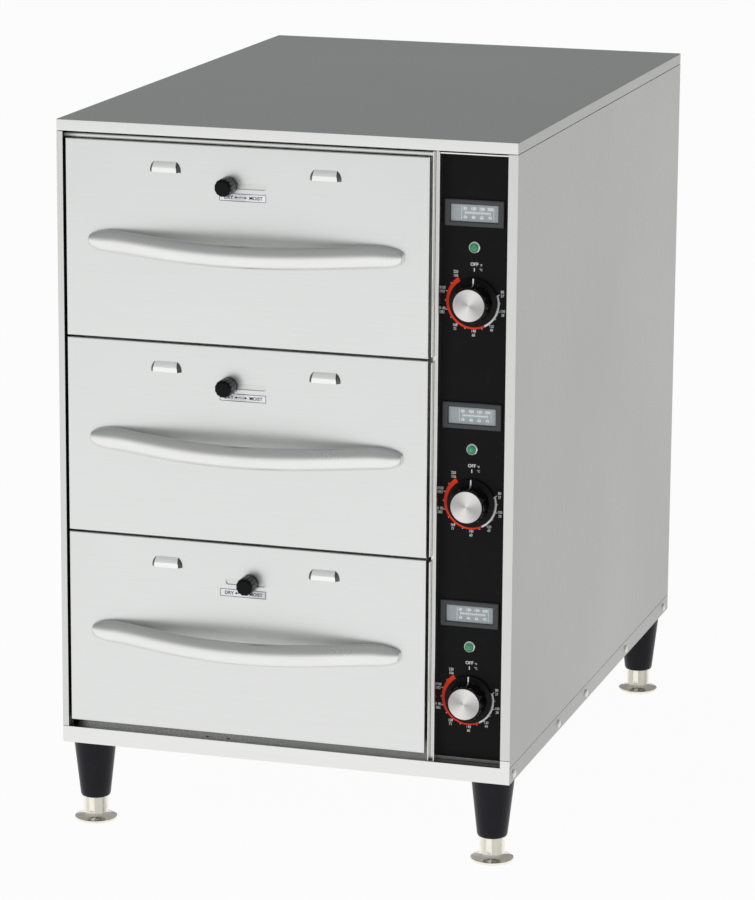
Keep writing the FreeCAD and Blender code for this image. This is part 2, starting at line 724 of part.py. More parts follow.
def handle():
    """The first drawer's bowed grip, of even height with rounded ends that lie flat on the drawer front."""
    half = handle_length / 2
    arch = half - handle_foot_length
    sections = []
    for i in range(handle_sections + 1):
        turn = math.pi * (i / handle_sections - 0.5)
        x = half * math.sin(turn)
        inset = min(1.0, (half - abs(x)) / handle_end_length)
        fullness = math.sqrt(1 - (1 - inset) ** 2)
        height = handle_end_height + (handle_height - handle_end_height) * fullness
        thick = handle_end_thickness + (handle_thickness - handle_end_thickness) * fullness
        bow = max(0.0, 1 - (x / arch) ** 2) ** 1.3
        rear = -(handle_reach - handle_thickness) * bow
        middle = rear - thick * 0.35
        z = -handle_droop * bow
        back_arc = Part.Arc(Vector(x, middle, z - height / 2), Vector(x, rear, z),
                            Vector(x, middle, z + height / 2)).toShape()
        front_arc = Part.Arc(Vector(x, middle, z + height / 2), Vector(x, rear - thick, z),
                             Vector(x, middle, z - height / 2)).toShape()
        sections.append(Part.Wire([back_arc, front_arc]))
    grip = Part.makeLoft(sections, True, False)
    grip = grip.cut(block(-half, half, 0, handle_reach, -2 * handle_height, 2 * handle_height))
    bores = [rod(handle_screw_radius, handle_screw_grip, (side * handle_screw_offset, 0, 0), (0, -1, 0))
             for side in (-1, 1)]
    return grip.cut(bores).translated(Vector(drawer_x, face_y, drawer_tops[0] - handle_drop))


def handle_screws(upper):
    """Two screws from inside the drawer front into the handle."""
    z = upper - handle_drop
    solids = []
    for side in (-1, 1):
        x = drawer_x + side * handle_screw_offset
        rear = face_y + drawer_sheet
        shank = rod(handle_screw_radius, drawer_sheet + handle_screw_grip, (x, rear, z), (0, -1, 0))
        head = rod(handle_screw_head_radius, handle_screw_head_height, (x, rear, z), (0, 1, 0))
        solids.append(fused(head, shank))
    return group(solids)


def pan_box():
    """Front and rear of the pan's rim."""
    front = face_y + drawer_front_depth + pan_front_gap
    return front, front + pan_length


def arm_span():
    """Inner and outer face of an arm's web from the drawer's centre."""
    inner = pan_width / 2 + pan_side_gap
    return inner, inner + frame_sheet


def drawer_frame(upper):
    """Two angle arms that carry the pan's rim, joined by a front and a rear bar."""
    rim_front, rim_rear = pan_box()
    front = face_y + drawer_front_depth
    rear = rim_rear + pan_side_gap + frame_sheet
    seat = upper - pan_drop - pan_rim_thickness
    web_in, web_out = arm_span()
    arm = fused(block(web_in, web_out, front, rear, seat - arm_height, seat),
                block(web_in - arm_ledge, web_in, front + pan_side_gap, rear - frame_sheet,
                      seat - frame_sheet, seat))
    arms = [arm, arm.mirror(Vector(0, 0, 0), Vector(1, 0, 0))]
    solids = [piece.translated(Vector(drawer_x, 0, 0)) for piece in arms]
    for y in (front, rear - frame_sheet):
        solids.append(block(drawer_x - web_in, drawer_x + web_in, y, y + frame_sheet,
                            seat - arm_height, seat - arm_height + cross_bar_height))
    inside = drawer_width / 2 - drawer_sheet
    solids.append(block(drawer_x - inside, drawer_x + inside, front - drawer_sheet, front,
                        upper - drawer_height + drawer_sheet,
                        upper - shutter_drop - shutter_height - 2 * drawer_sheet))
    return group(solids)


def drawer_rails(upper):
    """Two channels on the arms that run inside the cabinet rails."""
    low, high = rail_span(upper)
    low += frame_sheet + slide_clearance
    high -= frame_sheet + slide_clearance
    web = arm_span()[1]
    lips = cavity_half_width - frame_sheet - slide_clearance
    y0 = frame_y + rail_front_gap
    y1 = y0 + drawer_rail_length
    rail = fused(block(web, web + frame_sheet, y0, y1, low, high),
                 block(web, lips, y0, y1, low, low + frame_sheet),
                 block(web, lips, y0, y1, high - frame_sheet, high))
    rails = [rail, rail.mirror(Vector(0, 0, 0), Vector(1, 0, 0))]
    return group(piece.translated(Vector(drawer_x, 0, 0)) for piece in rails)


def food_pan(upper):
    """Deep steam-table pan with leaning walls, hung by its rim."""
    rim_front, rim_rear = pan_box()
    y = (rim_front + rim_rear) / 2
    seat = upper - pan_drop - pan_rim_thickness
    rim_top = upper - pan_drop
    width = pan_width - 2 * pan_rim_width
    length = pan_length - 2 * pan_rim_width
    bottom = rim_top - pan_depth

    def shell(shrink, floor):
        lean = pan_taper + shrink
        levels = [(rim_top, shrink), (floor + pan_bottom_chamfer, lean),
                  (floor, lean + pan_bottom_chamfer * 0.7)]
        wires = [rounded_rectangle(drawer_x, y, z, width - 2 * inset, length - 2 * inset,
                                   pan_corner_radius - inset) for z, inset in levels]
        return Part.makeLoft(wires, True, True)

    rim_outline = rounded_rectangle(drawer_x, y, seat, pan_width, pan_length,
                                    pan_corner_radius + pan_rim_width / 2)
    rim = Part.Face(rim_outline).extrude(Vector(0, 0, pan_rim_thickness))
    return fused(rim, shell(0, bottom)).cut(shell(pan_sheet, bottom + pan_sheet))


# ---------------------------------------------------------------- control pieces
def thermometer(z):
    """Housing with a bezel in front of the panel and a pocket for its scale and window."""
    face = panel_y - thermometer_reach
    body_width = thermometer_width / 2 - thermometer_body_margin
    body_height = thermometer_height / 2 - thermometer_body_margin
    bezel = block(control_x - thermometer_width / 2, control_x + thermometer_width / 2, face, panel_y,
                  z - thermometer_height / 2, z + thermometer_height / 2)
    edges = [edge for edge in bezel.Edges
             if abs(edge.BoundBox.YMin - face) < 1e-6 and edge.BoundBox.YLength < 1e-6]
    bezel = bezel.makeFillet(thermometer_reach * 0.4, edges)
    body = block(control_x - body_width, control_x + body_width, panel_y, panel_y + thermometer_body_depth,
                 z - body_height, z + body_height)
    pocket = block(control_x - window_width / 2, control_x + window_width / 2, face, face + window_rebate,
                   z - window_height / 2, z + window_height / 2)
    return fused(bezel, body).cut(pocket)


def thermometer_window(z):
    """Clear plate in a thermometer's pocket."""
    face = panel_y - thermometer_reach + window_recess
    return block(control_x - window_width / 2, control_x + window_width / 2, face, face + window_thickness,
                 z - window_height / 2, z + window_height / 2)


def pilot_light(z):
    """Lamp body through the panel with a round bezel and a cup for its lens."""
    depth = pilot_lens_height / 2
    profile = [(0, -pilot_body_depth), (pilot_body_radius, -pilot_body_depth), (pilot_body_radius, 0),
               (pilot_bezel_radius, 0), (pilot_bezel_radius, pilot_bezel_height * 0.5),
               (pilot_lens_radius + 0.5, pilot_bezel_height), (pilot_lens_radius, pilot_bezel_height),
               (pilot_lens_radius, pilot_bezel_height - depth), (0, pilot_bezel_height - depth)]
    return turned(profile, (control_x, panel_y, z), (0, -1, 0))


def pilot_lens(z):
    """Faceted green lens that stands in the pilot light's cup."""
    floor = pilot_bezel_height - pilot_lens_height / 2
    profile = [(0, floor), (pilot_lens_radius, floor), (pilot_lens_radius, pilot_bezel_height),
               (pilot_lens_radius * 0.6, floor + pilot_lens_height * 0.9), (0, floor + pilot_lens_height)]
    return turned(profile, (control_x, panel_y, z), (0, -1, 0))


def thermostat(z):
    """Thermostat body behind the panel with a threaded bushing through it."""
    rear = panel_y + panel_thickness
    body = block(control_x - thermostat_width / 2, control_x + thermostat_width / 2,
                 rear, rear + thermostat_depth, z - thermostat_height / 2, z + thermostat_height / 2)
    bushing = rod(bushing_radius, bushing_reach + panel_thickness, (control_x, rear, z), (0, -1, 0))
    bore = rod(spindle_radius + spindle_fit, spindle_depth + bushing_reach + slide_clearance,
               (control_x, panel_y - bushing_reach, z), (0, 1, 0))
    return fused(body, bushing).cut(bore)


def knob(z):
    """Fluted thermostat knob and the spindle pressed into it."""
    base = panel_y - knob_gap
    well = bushing_reach - knob_gap + knob_bore_clearance
    well_radius = bushing_radius + knob_bore_clearance
    profile = [(spindle_radius, well), (well_radius, well), (well_radius, 0), (knob_radius, 0),
               (knob_radius, knob_base_height), (knob_top_radius + 1.5, knob_height - 1.5),
               (knob_top_radius, knob_height), (cap_radius, knob_height),
               (cap_radius, knob_height - cap_recess), (spindle_radius, knob_height - cap_recess)]
    skirt = turned(profile, (control_x, base, z), (0, -1, 0))
    lean = (knob_radius - knob_top_radius) / (knob_height - knob_base_height)
    flutes = []
    for i in range(knob_flutes):
        angle = 2 * math.pi * (i + 0.5) / knob_flutes
        out = (math.cos(angle), math.sin(angle))
        reach = knob_radius + knob_flute_radius * 0.55
        start = (control_x + reach * out[0], base - knob_base_height, z + reach * out[1])
        flutes.append(rod(knob_flute_radius, knob_height, start, (-lean * out[0], -1, -lean * out[1])))
    spindle = rod(spindle_radius, knob_height - cap_recess + knob_gap + spindle_depth,
                  (control_x, panel_y + spindle_depth, z), (0, -1, 0))
    return group([skirt.cut(flutes), spindle])


def knob_cap(z):
    """Spun metal disc on a knob's face."""
    base = panel_y - knob_gap - knob_height + cap_recess
    profile = [(0, 0), (cap_radius, 0), (cap_radius, cap_thickness * 0.6), (cap_radius - 1, cap_thickness),
               (0, cap_thickness)]
    return turned(profile, (control_x, base, z), (0, -1, 0))


# ---------------------------------------------------------------- legs and feet
def leg_body(x, y):
    """Tapered leg with a stud through the base tray and a socket for its foot."""
    socket = foot_tube_radius + foot_fit
    edge = leg_edge_radius
    profile = [(0, foot_socket_depth), (socket, foot_socket_depth), (socket, 0),
               (leg_bottom_radius - edge, 0), (leg_bottom_radius - edge * 0.3, edge * 0.3),
               (leg_bottom_radius, edge), (leg_top_radius, leg_body_height),
               (leg_stud_radius, leg_body_height), (leg_stud_radius, leg_body_height + leg_stud_length),
               (0, leg_body_height + leg_stud_length)]
    return turned(profile, (x, y, base_z - leg_body_height), (0, 0, 1))


def leg_nut(x, y):
    """Hexagon nut on a leg's stud."""
    low = base_z + sheet
    turns = [i * math.pi / 3 for i in range(6)]
    corners = [Vector(x + leg_nut_radius * math.cos(turn), y + leg_nut_radius * math.sin(turn), low)
               for turn in turns]
    nut = Part.Face(Part.makePolygon(corners + corners[:1])).extrude(Vector(0, 0, leg_nut_height))
    return nut.cut(rod(leg_stud_radius + fastener_clearance, leg_nut_height, (x, y, low), (0, 0, 1)))


def foot(x, y):
    """Round levelling foot whose tube runs in the leg."""
    flare = foot_rim_height + foot_flare_height
    top = flare + foot_tube_show + foot_socket_depth - foot_stop_gap
    span = foot_rim_radius - foot_tube_radius
    profile = [(0, 0), (foot_rim_radius - 0.8, 0), (foot_rim_radius, 0.8),
               (foot_rim_radius, foot_rim_height),
               (foot_tube_radius + span * 0.45, foot_rim_height + foot_flare_height * 0.25),
               (foot_tube_radius + span * 0.12, foot_rim_height + foot_flare_height * 0.6),
               (foot_tube_radius, flare), (foot_tube_radius, top), (0, top)]
    solid = turned(profile, (x, y, 0), (0, 0, 1))
    key = block(x - foot_key_width / 2, x + foot_key_width / 2, y - foot_tube_radius,
                y - foot_tube_radius + foot_key_depth, flare + 2, flare + 2 + foot_key_height)
    return solid.cut(key)


# ---------------------------------------------------------------- fasteners and wiring entry
def cabinet_screws():
    """Pan-head screws along both sides of the base and down both edges of the rear panel."""
    def screw(place, direction):
        profile = [(0, 0), (screw_head_radius, 0), (screw_head_radius * 0.9, screw_head_height * 0.6),
                   (screw_head_radius * 0.5, screw_head_height), (0, screw_head_height)]
        head = turned(profile, place, direction)
        inward = tuple(-step for step in direction)
        return fused(head, rod(screw_shank_radius, screw_shank_length, place, inward))

    solids = []
    for side in (-1, 1):
        for place in side_screw_places:
            spot = (side * cabinet_width / 2, front_y + place, base_z + side_screw_lift)
            solids.append(screw(spot, (side, 0, 0)))
        x = side * (cabinet_width / 2 - rear_return / 2 - sheet / 2)
        for place in rear_screw_places:
            solids.append(screw((x, back_y, base_z + place), (0, 1, 0)))
    return group(solids)


def cord_gland():
    """Strain-relief gland in the rear panel with its nut inside."""
    z = base_z + gland_lift
    fit = fastener_clearance
    neck = gland_neck_length
    profile = [(gland_bore_radius, -neck), (gland_hole_radius - fit, -neck), (gland_hole_radius - fit, 0),
               (gland_flange_radius, 0), (gland_flange_radius, gland_flange_height),
               (gland_nose_radius, gland_flange_height),
               (gland_nose_radius * 0.8, gland_flange_height + gland_nose_length),
               (gland_bore_radius, gland_flange_height + gland_nose_length)]
    body = turned(profile, (panel_x, back_y, z), (0, 1, 0))
    inner = [(gland_hole_radius, 0), (gland_nut_radius, 0), (gland_nut_radius, gland_nut_height),
             (gland_hole_radius, gland_nut_height)]
    nut = turned(inner, (panel_x, back_y - sheet, z), (0, -1, 0))
    return group([body, nut])


def terminal_block():
    """Connection block on the base tray below the control strip."""
    y = back_y - 2 * sheet - terminal_length * 2
    z = base_z + sheet
    x0 = panel_x - terminal_width / 2
    x1 = panel_x + terminal_width / 2
    body = block(x0, x1, y, y + terminal_length, z, z + terminal_height)
    pitch = terminal_length / terminal_ways
    ways = [block(x0, x1, y + pitch * (i + 0.3), y + pitch * (i + 0.7), z + terminal_height * 0.6,
                  z + terminal_height) for i in range(terminal_ways)]
    return body.cut(ways)


# ---------------------------------------------------------------- build
def build():
    """Write every node."""
    export("top_cover", top_cover())
    export("side_panel_left", side_panel(-1))
    export("side_panel_right", side_panel(1))
    export("rear_panel", rear_panel())
    export("base_tray", base_tray())
    export("front_frame", front_frame())
    export("divider_post", divider_post())
    export("control_panel", control_panel())
    cavity_pieces()
    export("heaters", heaters())
    export("cabinet_rails", cabinet_rails())
    export("thermometers", group(thermometer(z) for z in zone_heights(thermometer_drop)))
    export("thermometer_windows", group(thermometer_window(z) for z in zone_heights(thermometer_drop)))
    export("pilot_lights", group(pilot_light(z) for z in zone_heights(pilot_drop)))
    export("pilot_lenses", group(pilot_lens(z) for z in zone_heights(pilot_drop)))
    export("thermostats", group(thermostat(z) for z in zone_heights(dial_drop)))
    export("cabinet_screws", cabinet_screws())
    export("cord_gland", cord_gland())
    export("terminal_block", terminal_block())
    centres = leg_centres()
    export("leg_bodies", group(leg_body(*centre) for centre in centres.values()))
    export("leg_nuts", group(leg_nut(*centre) for centre in centres.values()))
    for name, centre in centres.items():
        export("foot_" + name, foot(*centre))
    grip = handle()
    for number, upper in enumerate(drawer_tops, 1):
        shift = vent_knob_rest_shift[number - 1]
        tag = "_" + str(number)
        export("drawer_front" + tag, drawer_front(upper))
        export("vent_shutter" + tag, vent_shutter(upper, shift))
        export("vent_knob" + tag, vent_knob(upper, shift))
        export("handle" + tag, grip.translated(Vector(0, 0, upper - drawer_tops[0])))
        export("handle_screws" + tag, handle_screws(upper))
        export("drawer_frame" + tag, drawer_frame(upper))
        export("drawer_rails" + tag, drawer_rails(upper))
        export("food_pan" + tag, food_pan(upper))
        export("knob" + tag, knob(upper - dial_drop))
        export("knob_cap" + tag, knob_cap(upper - dial_drop))


build()
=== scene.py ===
"""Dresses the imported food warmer: finishes for its CAD pieces, printed scales and labels, light and camera."""
import logging
import math
from dataclasses import dataclass
from enum import Enum
from typing import Callable, Dict, Iterable, List, Optional, Sequence, Tuple, Union

import bmesh
import bpy
from mathutils import Matrix, Vector


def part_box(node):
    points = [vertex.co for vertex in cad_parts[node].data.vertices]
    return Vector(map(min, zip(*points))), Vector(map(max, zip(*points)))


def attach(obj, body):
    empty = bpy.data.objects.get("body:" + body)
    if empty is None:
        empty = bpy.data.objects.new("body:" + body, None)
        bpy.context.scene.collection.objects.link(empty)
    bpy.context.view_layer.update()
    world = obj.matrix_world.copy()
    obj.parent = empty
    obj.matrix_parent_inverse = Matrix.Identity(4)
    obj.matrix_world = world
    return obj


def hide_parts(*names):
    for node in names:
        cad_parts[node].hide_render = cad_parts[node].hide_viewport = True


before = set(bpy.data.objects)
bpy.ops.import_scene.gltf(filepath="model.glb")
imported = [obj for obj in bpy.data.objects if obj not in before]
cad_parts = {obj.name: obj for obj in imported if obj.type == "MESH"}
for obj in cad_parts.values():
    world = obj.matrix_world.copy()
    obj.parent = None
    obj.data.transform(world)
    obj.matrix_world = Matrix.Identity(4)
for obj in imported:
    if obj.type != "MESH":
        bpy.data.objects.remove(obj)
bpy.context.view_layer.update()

log = logging.getLogger("food_warmer")

Colour = Tuple[float, float, float]
Point = Tuple[float, float, float]
Pair = Tuple[float, float]
DRAWERS = (1, 2, 3)
FEET = ("front_left", "front_right", "rear_left", "rear_right")
MM = 0.001
FORWARD = (0.0, -1.0, 0.0)
GRIP_CREASE = 50.0


# ---------------------------------------------------------------- shader expressions
class Wire:
    """A shader socket that can be used in Python arithmetic."""

    def __init__(self, graph: "Graph", socket: bpy.types.NodeSocket) -> None:
        """Wraps a socket of a graph."""
        self.graph = graph
        self.socket = socket

    def _join(self, operation: str, first: "Operand", second: "Operand") -> "Wire":
        """Adds a Math node for values, or a Vector Math node where a colour or vector takes part.

        Args:
            operation: the node's operation.
            first: left operand.
            second: right operand.

        Returns:
            The result.
        """
        wires = [item for item in (first, second) if isinstance(item, Wire)]
        plain = all(item.socket.type == "VALUE" for item in wires)
        kind = "ShaderNodeMath" if plain else "ShaderNodeVectorMath"
        return self.graph.node(kind, {"operation": operation}, {0: first, 1: second})

    def __add__(self, other: "Operand") -> "Wire":
        """self + other"""
        return self._join("ADD", self, other)

    def __radd__(self, other: "Operand") -> "Wire":
        """other + self"""
        return self._join("ADD", other, self)

    def __sub__(self, other: "Operand") -> "Wire":
        """self - other"""
        return self._join("SUBTRACT", self, other)

    def __rsub__(self, other: "Operand") -> "Wire":
        """other - self"""
        return self._join("SUBTRACT", other, self)

    def __mul__(self, other: "Operand") -> "Wire":
        """self * other"""
        return self._join("MULTIPLY", self, other)

    def __rmul__(self, other: "Operand") -> "Wire":
        """other * self"""
        return self._join("MULTIPLY", other, self)

    def __truediv__(self, other: "Operand") -> "Wire":
        """self / other"""
        return self._join("DIVIDE", self, other)

    def __pow__(self, other: "Operand") -> "Wire":
        """self ** other"""
        return self._join("POWER", self, other)

    def __abs__(self) -> "Wire":
        """abs(self)"""
        return self.graph.node("ShaderNodeMath", {"operation": "ABSOLUTE"}, {0: self})

    def sine(self) -> "Wire":
        """Sine of a value in radians."""
        return self.graph.node("ShaderNodeMath", {"operation": "SINE"}, {0: self})

    def clamped(self) -> "Wire":
        """The value held between 0 and 1."""
        return self.graph.node("ShaderNodeMath", {"operation": "ADD", "use_clamp": True}, {0: self, 1: 0.0})

    def axis(self, index: int) -> "Wire":
        """One coordinate of a vector: 0, 1 or 2."""
        return self.graph.node("ShaderNodeSeparateXYZ", None, {0: self}, output=index)

    def times(self, colour: "Feed") -> "Wire":
        """A colour multiplied by this value or colour."""
        return self.graph.node("ShaderNodeVectorMath", {"operation": "MULTIPLY"}, {0: self, 1: colour})

    def ramp(self, low: float, high: float) -> "Wire":
        """A smooth step of the value from 0 at low to 1 at high."""
        return self.graph.node("ShaderNodeMapRange", {"interpolation_type": "SMOOTHSTEP"},
                               {"Value": self, "From Min": low, "From Max": high})


Operand = Union[Wire, float]
Setting = Union[str, bool, float, Sequence[Tuple[float, Colour]]]
Feed = Union[Wire, float, Sequence[float]]


class Graph:
    """The node tree of a material, of the world or of a modifier."""

    def __init__(self, tree: bpy.types.NodeTree) -> None:
        """Empties the tree and keeps it."""
        self.tree = tree
        tree.nodes.clear()

    def node(self, kind: str, settings: Optional[Dict[str, Setting]] = None,
             feeds: Optional[Dict[Union[str, int], Feed]] = None, output: Union[str, int] = 0) -> Wire:
        """Adds one node.

        Args:
            kind: the node's type.
            settings: its own properties, set first; "stops" are the stops of a colour ramp.
            feeds: values or links of its input sockets, by name or number.
            output: the output socket to return.

        Returns:
            The chosen output, or the node's first one.
        """
        node = self.tree.nodes.new(kind)
        for name, value in (settings or {}).items():
            if name == "stops":
                self._set_stops(node.color_ramp, value)
            else:
                setattr(node, name, value)
        for name, value in (feeds or {}).items():
            socket = node.inputs[name]
            if isinstance(value, Wire):
                self.tree.links.new(value.socket, socket)
            elif socket.type == "RGBA":
                socket.default_value = (*value, 1.0)[:4]
            elif socket.type == "VECTOR" and not isinstance(value, (tuple, list)):
                socket.default_value = (value, value, value)
            else:
                socket.default_value = value
        return Wire(self, node.outputs[output]) if node.outputs else Wire(self, node.inputs[0])

    @staticmethod
    def _set_stops(ramp: bpy.types.ColorRamp, stops: Sequence[Tuple[float, Colour]]) -> None:
        """Replaces the stops of a colour ramp.

        Args:
            ramp: the colour ramp.
            stops: places from 0 to 1 and their colours.
        """
        while len(ramp.elements) > 1:
            ramp.elements.remove(ramp.elements[-1])
        ramp.elements[0].position = stops[0][0]
        ramp.elements[0].color = (*stops[0][1], 1.0)
        for position, colour in stops[1:]:
            ramp.elements.new(position).color = (*colour, 1.0)

    def place(self, stretch: Point = (1.0, 1.0, 1.0)) -> Wire:
        """Object coordinates in metres, multiplied axis by axis."""
        return self.node("ShaderNodeTexCoord", output="Object").times(stretch)

    def noise(self, cells: Union[float, Point], detail: float = 2.0, rough: float = 0.5) -> Wire:
        """Noise from 0 to 1.

        Args:
            cells: cells per metre, the same every way or one number for each axis.
            detail: how many finer layers lie in it.
            rough: how strong the finer layers are.

        Returns:
            The noise.
        """
        stretch = cells if isinstance(cells, tuple) else (cells, cells, cells)
        return self.node("ShaderNodeTexNoise", {"noise_dimensions": "3D"},
                         {"Vector": self.place(stretch), "Scale": 1.0, "Detail": detail, "Roughness": rough})

    def mix(self, factor: Feed, first: Feed, second: Feed) -> Wire:
        """A colour between two colours."""
        return self.node("ShaderNodeMix", {"data_type": "RGBA", "clamp_factor": True},
                         {0: factor, 6: first, 7: second}, output=2)

    def bump(self, height: Wire, depth: float, strength: float = 1.0) -> Wire:
        """A normal bent by a height from 0 to 1, where 1 stands depth metres proud."""
        return self.node("ShaderNodeBump", None, {"Height": height, "Distance": depth, "Strength": strength})

    def surface(self, feeds: Dict[Union[str, int], Feed]) -> None:
        """Ends the tree in a Principled shader."""
        shader = self.node("ShaderNodeBsdfPrincipled", None, feeds)
        self.node("ShaderNodeOutputMaterial", None, {"Surface": shader})

    def metal(self, colour: Feed, gloss: Wire, normal: Wire, metallic: float = 1.0) -> None:
        """Ends the tree in a metal's surface, from its colour, roughness and bent normal."""
        self.surface({"Base Color": colour, "Metallic": metallic, "Roughness": gloss.clamped(),
                      "Normal": normal})


# ---------------------------------------------------------------- finishes
class Grain(Enum):
    """The way a sheet was brushed."""

    ACROSS = "across"
    LENGTHWISE = "lengthwise"
    UPRIGHT = "upright"

    def stretch(self, along: float, over: float) -> Point:
        """Noise frequencies with the slow one along the grain.

        Args:
            along: cells per metre along the strokes.
            over: cells per metre over the strokes.

        Returns:
            Frequencies for X, Y and Z.
        """
        slow = {Grain.ACROSS: 0, Grain.LENGTHWISE: 1, Grain.UPRIGHT: 2}[self]
        return tuple(along if axis == slow else over for axis in range(3))


@dataclass(frozen=True)
class Finish:
    """A material that can be laid on pieces."""

    name: str

    def build(self) -> bpy.types.Material:
        """Makes the material, once.

        Returns:
            The material.
        """
        made = bpy.data.materials.get(self.name)
        if made is None:
            made = bpy.data.materials.new(self.name)
            made.use_nodes = True
            self.draw(Graph(made.node_tree))
        return made

    def draw(self, graph: Graph) -> None:
        """Fills the material's node tree."""
        raise NotImplementedError

    def cover(self, piece: bpy.types.Object) -> None:
        """Gives the whole piece this material."""
        piece.data.materials.clear()
        piece.data.materials.append(self.build())


@dataclass(frozen=True)
class BrushedSteel(Finish):
    """Stainless sheet with brush strokes, soft waviness and handling marks."""

    colour: Colour = (0.60, 0.60, 0.59)
    grain: Grain = Grain.ACROSS
    roughness: float = 0.34
    stroke: float = 0.05
    smudge: float = 0.06

    def strokes(self, graph: Graph) -> Wire:
        """Fine and broad brush strokes together, from 0 to 1.

        Args:
            graph: the material's node tree.

        Returns:
            The strokes.
        """
        fine = graph.noise(self.grain.stretch(25.0, 1500.0), 3.0, 0.6)
        broad = graph.noise(self.grain.stretch(18.0, 420.0), 2.0, 0.5)
        return fine * 0.5 + broad * 0.5

    def tinted(self, graph: Graph) -> Wire:
        """The colour with strokes and soft clouds in it.

        Args:
            graph: the material's node tree.

        Returns:
            The colour.
        """
        cloud = graph.noise(7.0, 3.0, 0.55)
        tint = 1.0 + (self.strokes(graph) - 0.5) * (self.stroke * 2.0) + (cloud - 0.5) * self.smudge
        return tint.times(self.colour)

    def draw(self, graph: Graph) -> None:
        """Strokes vary tint, gloss and height; broad clouds vary the gloss like wiped steel.

        Args:
            graph: the material's node tree.
        """
        strokes = self.strokes(graph)
        wiped = graph.noise(2.5, 1.0)
        gloss = self.roughness + (strokes - 0.5) * 0.12 + (wiped - 0.5) * self.smudge
        graph.metal(self.tinted(graph), gloss, graph.bump(strokes, 0.00004, 0.6))


@dataclass(frozen=True)
class BeadSteel(BrushedSteel):
    """Brushed sheet with painted light and shade: a painted highlight and shade roll down its header bead, and a
    painted shadow darkens its left corner.
    """

    bead_low: float = 0.7325
    bead_high: float = 0.7382
    # Where the painted shadow in the left corner lies, how wide it is and how dark it is.
    corner: float = -0.236
    corner_width: float = 0.016
    corner_shade: float = 0.12
    # Painted light and shade over the bead's height: places from 0 to 1 and what the colour is multiplied by
    # there.
    roll: Tuple[Pair, ...] = (
        (0.0, 1.0), (0.04, 1.1), (0.30, 0.72), (0.58, 1.0), (0.80, 1.22), (1.0, 1.0))

    def tinted(self, graph: Graph) -> Wire:
        """The sheet's tint, with painted light and shade over the bead and a painted shadow in the corner beside
        it.

        Args:
            graph: the material's node tree.

        Returns:
            The colour.
        """
        share = (graph.place().axis(2) - self.bead_low) / (self.bead_high - self.bead_low)
        stops = [(height, (grey, grey, grey)) for height, grey in self.roll]
        painted_roll = graph.node("ShaderNodeValToRGB", {"stops": stops}, {0: share})
        inward = (graph.place().axis(0) - self.corner) / self.corner_width
        corner_shadow_tint = graph.mix(inward, (self.corner_shade,) * 3, (1.0, 1.0, 1.0))
        return super().tinted(graph) * painted_roll.times(corner_shadow_tint)


@dataclass(frozen=True)
class PlatedMetal(Finish):
    """Plated or polished metal with faint turning marks, stains and dulled spots."""

    colour: Colour = (0.75, 0.74, 0.70)
    roughness: float = 0.2
    ring_pitch: float = 0.0008
    stain: Colour = (0.45, 0.40, 0.32)
    stain_amount: float = 0.25
    metallic: float = 1.0

    def draw(self, graph: Graph) -> None:
        """Horizontal turning marks from height, and blotches that dull the plate.

        Args:
            graph: the material's node tree.
        """
        rings = (graph.place().axis(2) * (2 * math.pi / self.ring_pitch)).sine() * 0.5 + 0.5
        blotch = graph.noise(160.0, 4.0, 0.6).ramp(0.48, 0.72)
        speck = graph.noise(1400.0, 2.0)
        colour = graph.mix(blotch * self.stain_amount, self.colour, self.stain)
        gloss = self.roughness + blotch * 0.14 + (speck - 0.5) * 0.08
        graph.metal(colour, gloss, graph.bump(rings * 0.6 + speck * 0.4, 0.00003, 0.5), self.metallic)


@dataclass(frozen=True)
class SatinCasting(Finish):
    """Die-cast metal with a fine blasted and plated skin."""

    colour: Colour = (0.70, 0.70, 0.67)
    roughness: float = 0.33

    def draw(self, graph: Graph) -> None:
        """Fine grain in the normal, with slow changes of tint and gloss where hands hold it.

        Args:
            graph: the material's node tree.
        """
        grain = graph.noise(2600.0, 2.0)
        cloud = graph.noise((22.0, 60.0, 60.0), 3.0)
        held = graph.noise((9.0, 30.0, 30.0), 1.0).ramp(0.35, 0.75)
        tint = 1.0 + (cloud - 0.5) * 0.07 + (grain - 0.5) * 0.05
        gloss = self.roughness + (grain - 0.5) * 0.1 - held * 0.05
        graph.metal(tint.times(self.colour), gloss, graph.bump(grain, 0.00002, 0.5))


@dataclass(frozen=True)
class Moulding(Finish):
    """Plastic or lacquer: an even colour with orange peel, dust and rubbed patches."""

    colour: Colour = (0.02, 0.02, 0.022)
    roughness: float = 0.35
    peel: float = 900.0
    peel_depth: float = 0.00002
    dust: float = 0.04
    dust_colour: Colour = (0.32, 0.32, 0.32)
    shine: float = 0.5
    flank_coat: float = 0.0

    def draw(self, graph: Graph) -> None:
        """Peel bends the normal; dust lightens and dulls; rubbing changes the gloss; flanks are polished.

        Args:
            graph: the material's node tree.
        """
        peel = graph.noise(self.peel, 2.0)
        dust = graph.noise(60.0, 5.0, 0.65).ramp(0.5, 0.85)
        rubbed = graph.noise(14.0, 3.0)
        colour = graph.mix(dust * self.dust, self.colour, self.dust_colour)
        gloss = self.roughness + dust * 0.10 + (rubbed - 0.5) * 0.08
        feeds = {"Base Color": colour, "Roughness": gloss.clamped(), "Specular IOR Level": self.shine,
                 "Normal": graph.bump(peel, self.peel_depth, 0.5)}
        if self.flank_coat > 0.0:
            facing = abs(graph.node("ShaderNodeNewGeometry", output="Normal").axis(1))
            feeds.update({"Coat Weight": (1.0 - facing.ramp(0.35, 0.75)) * self.flank_coat,
                          "Coat Roughness": 0.07, "Coat IOR": 2.4})
        graph.surface(feeds)


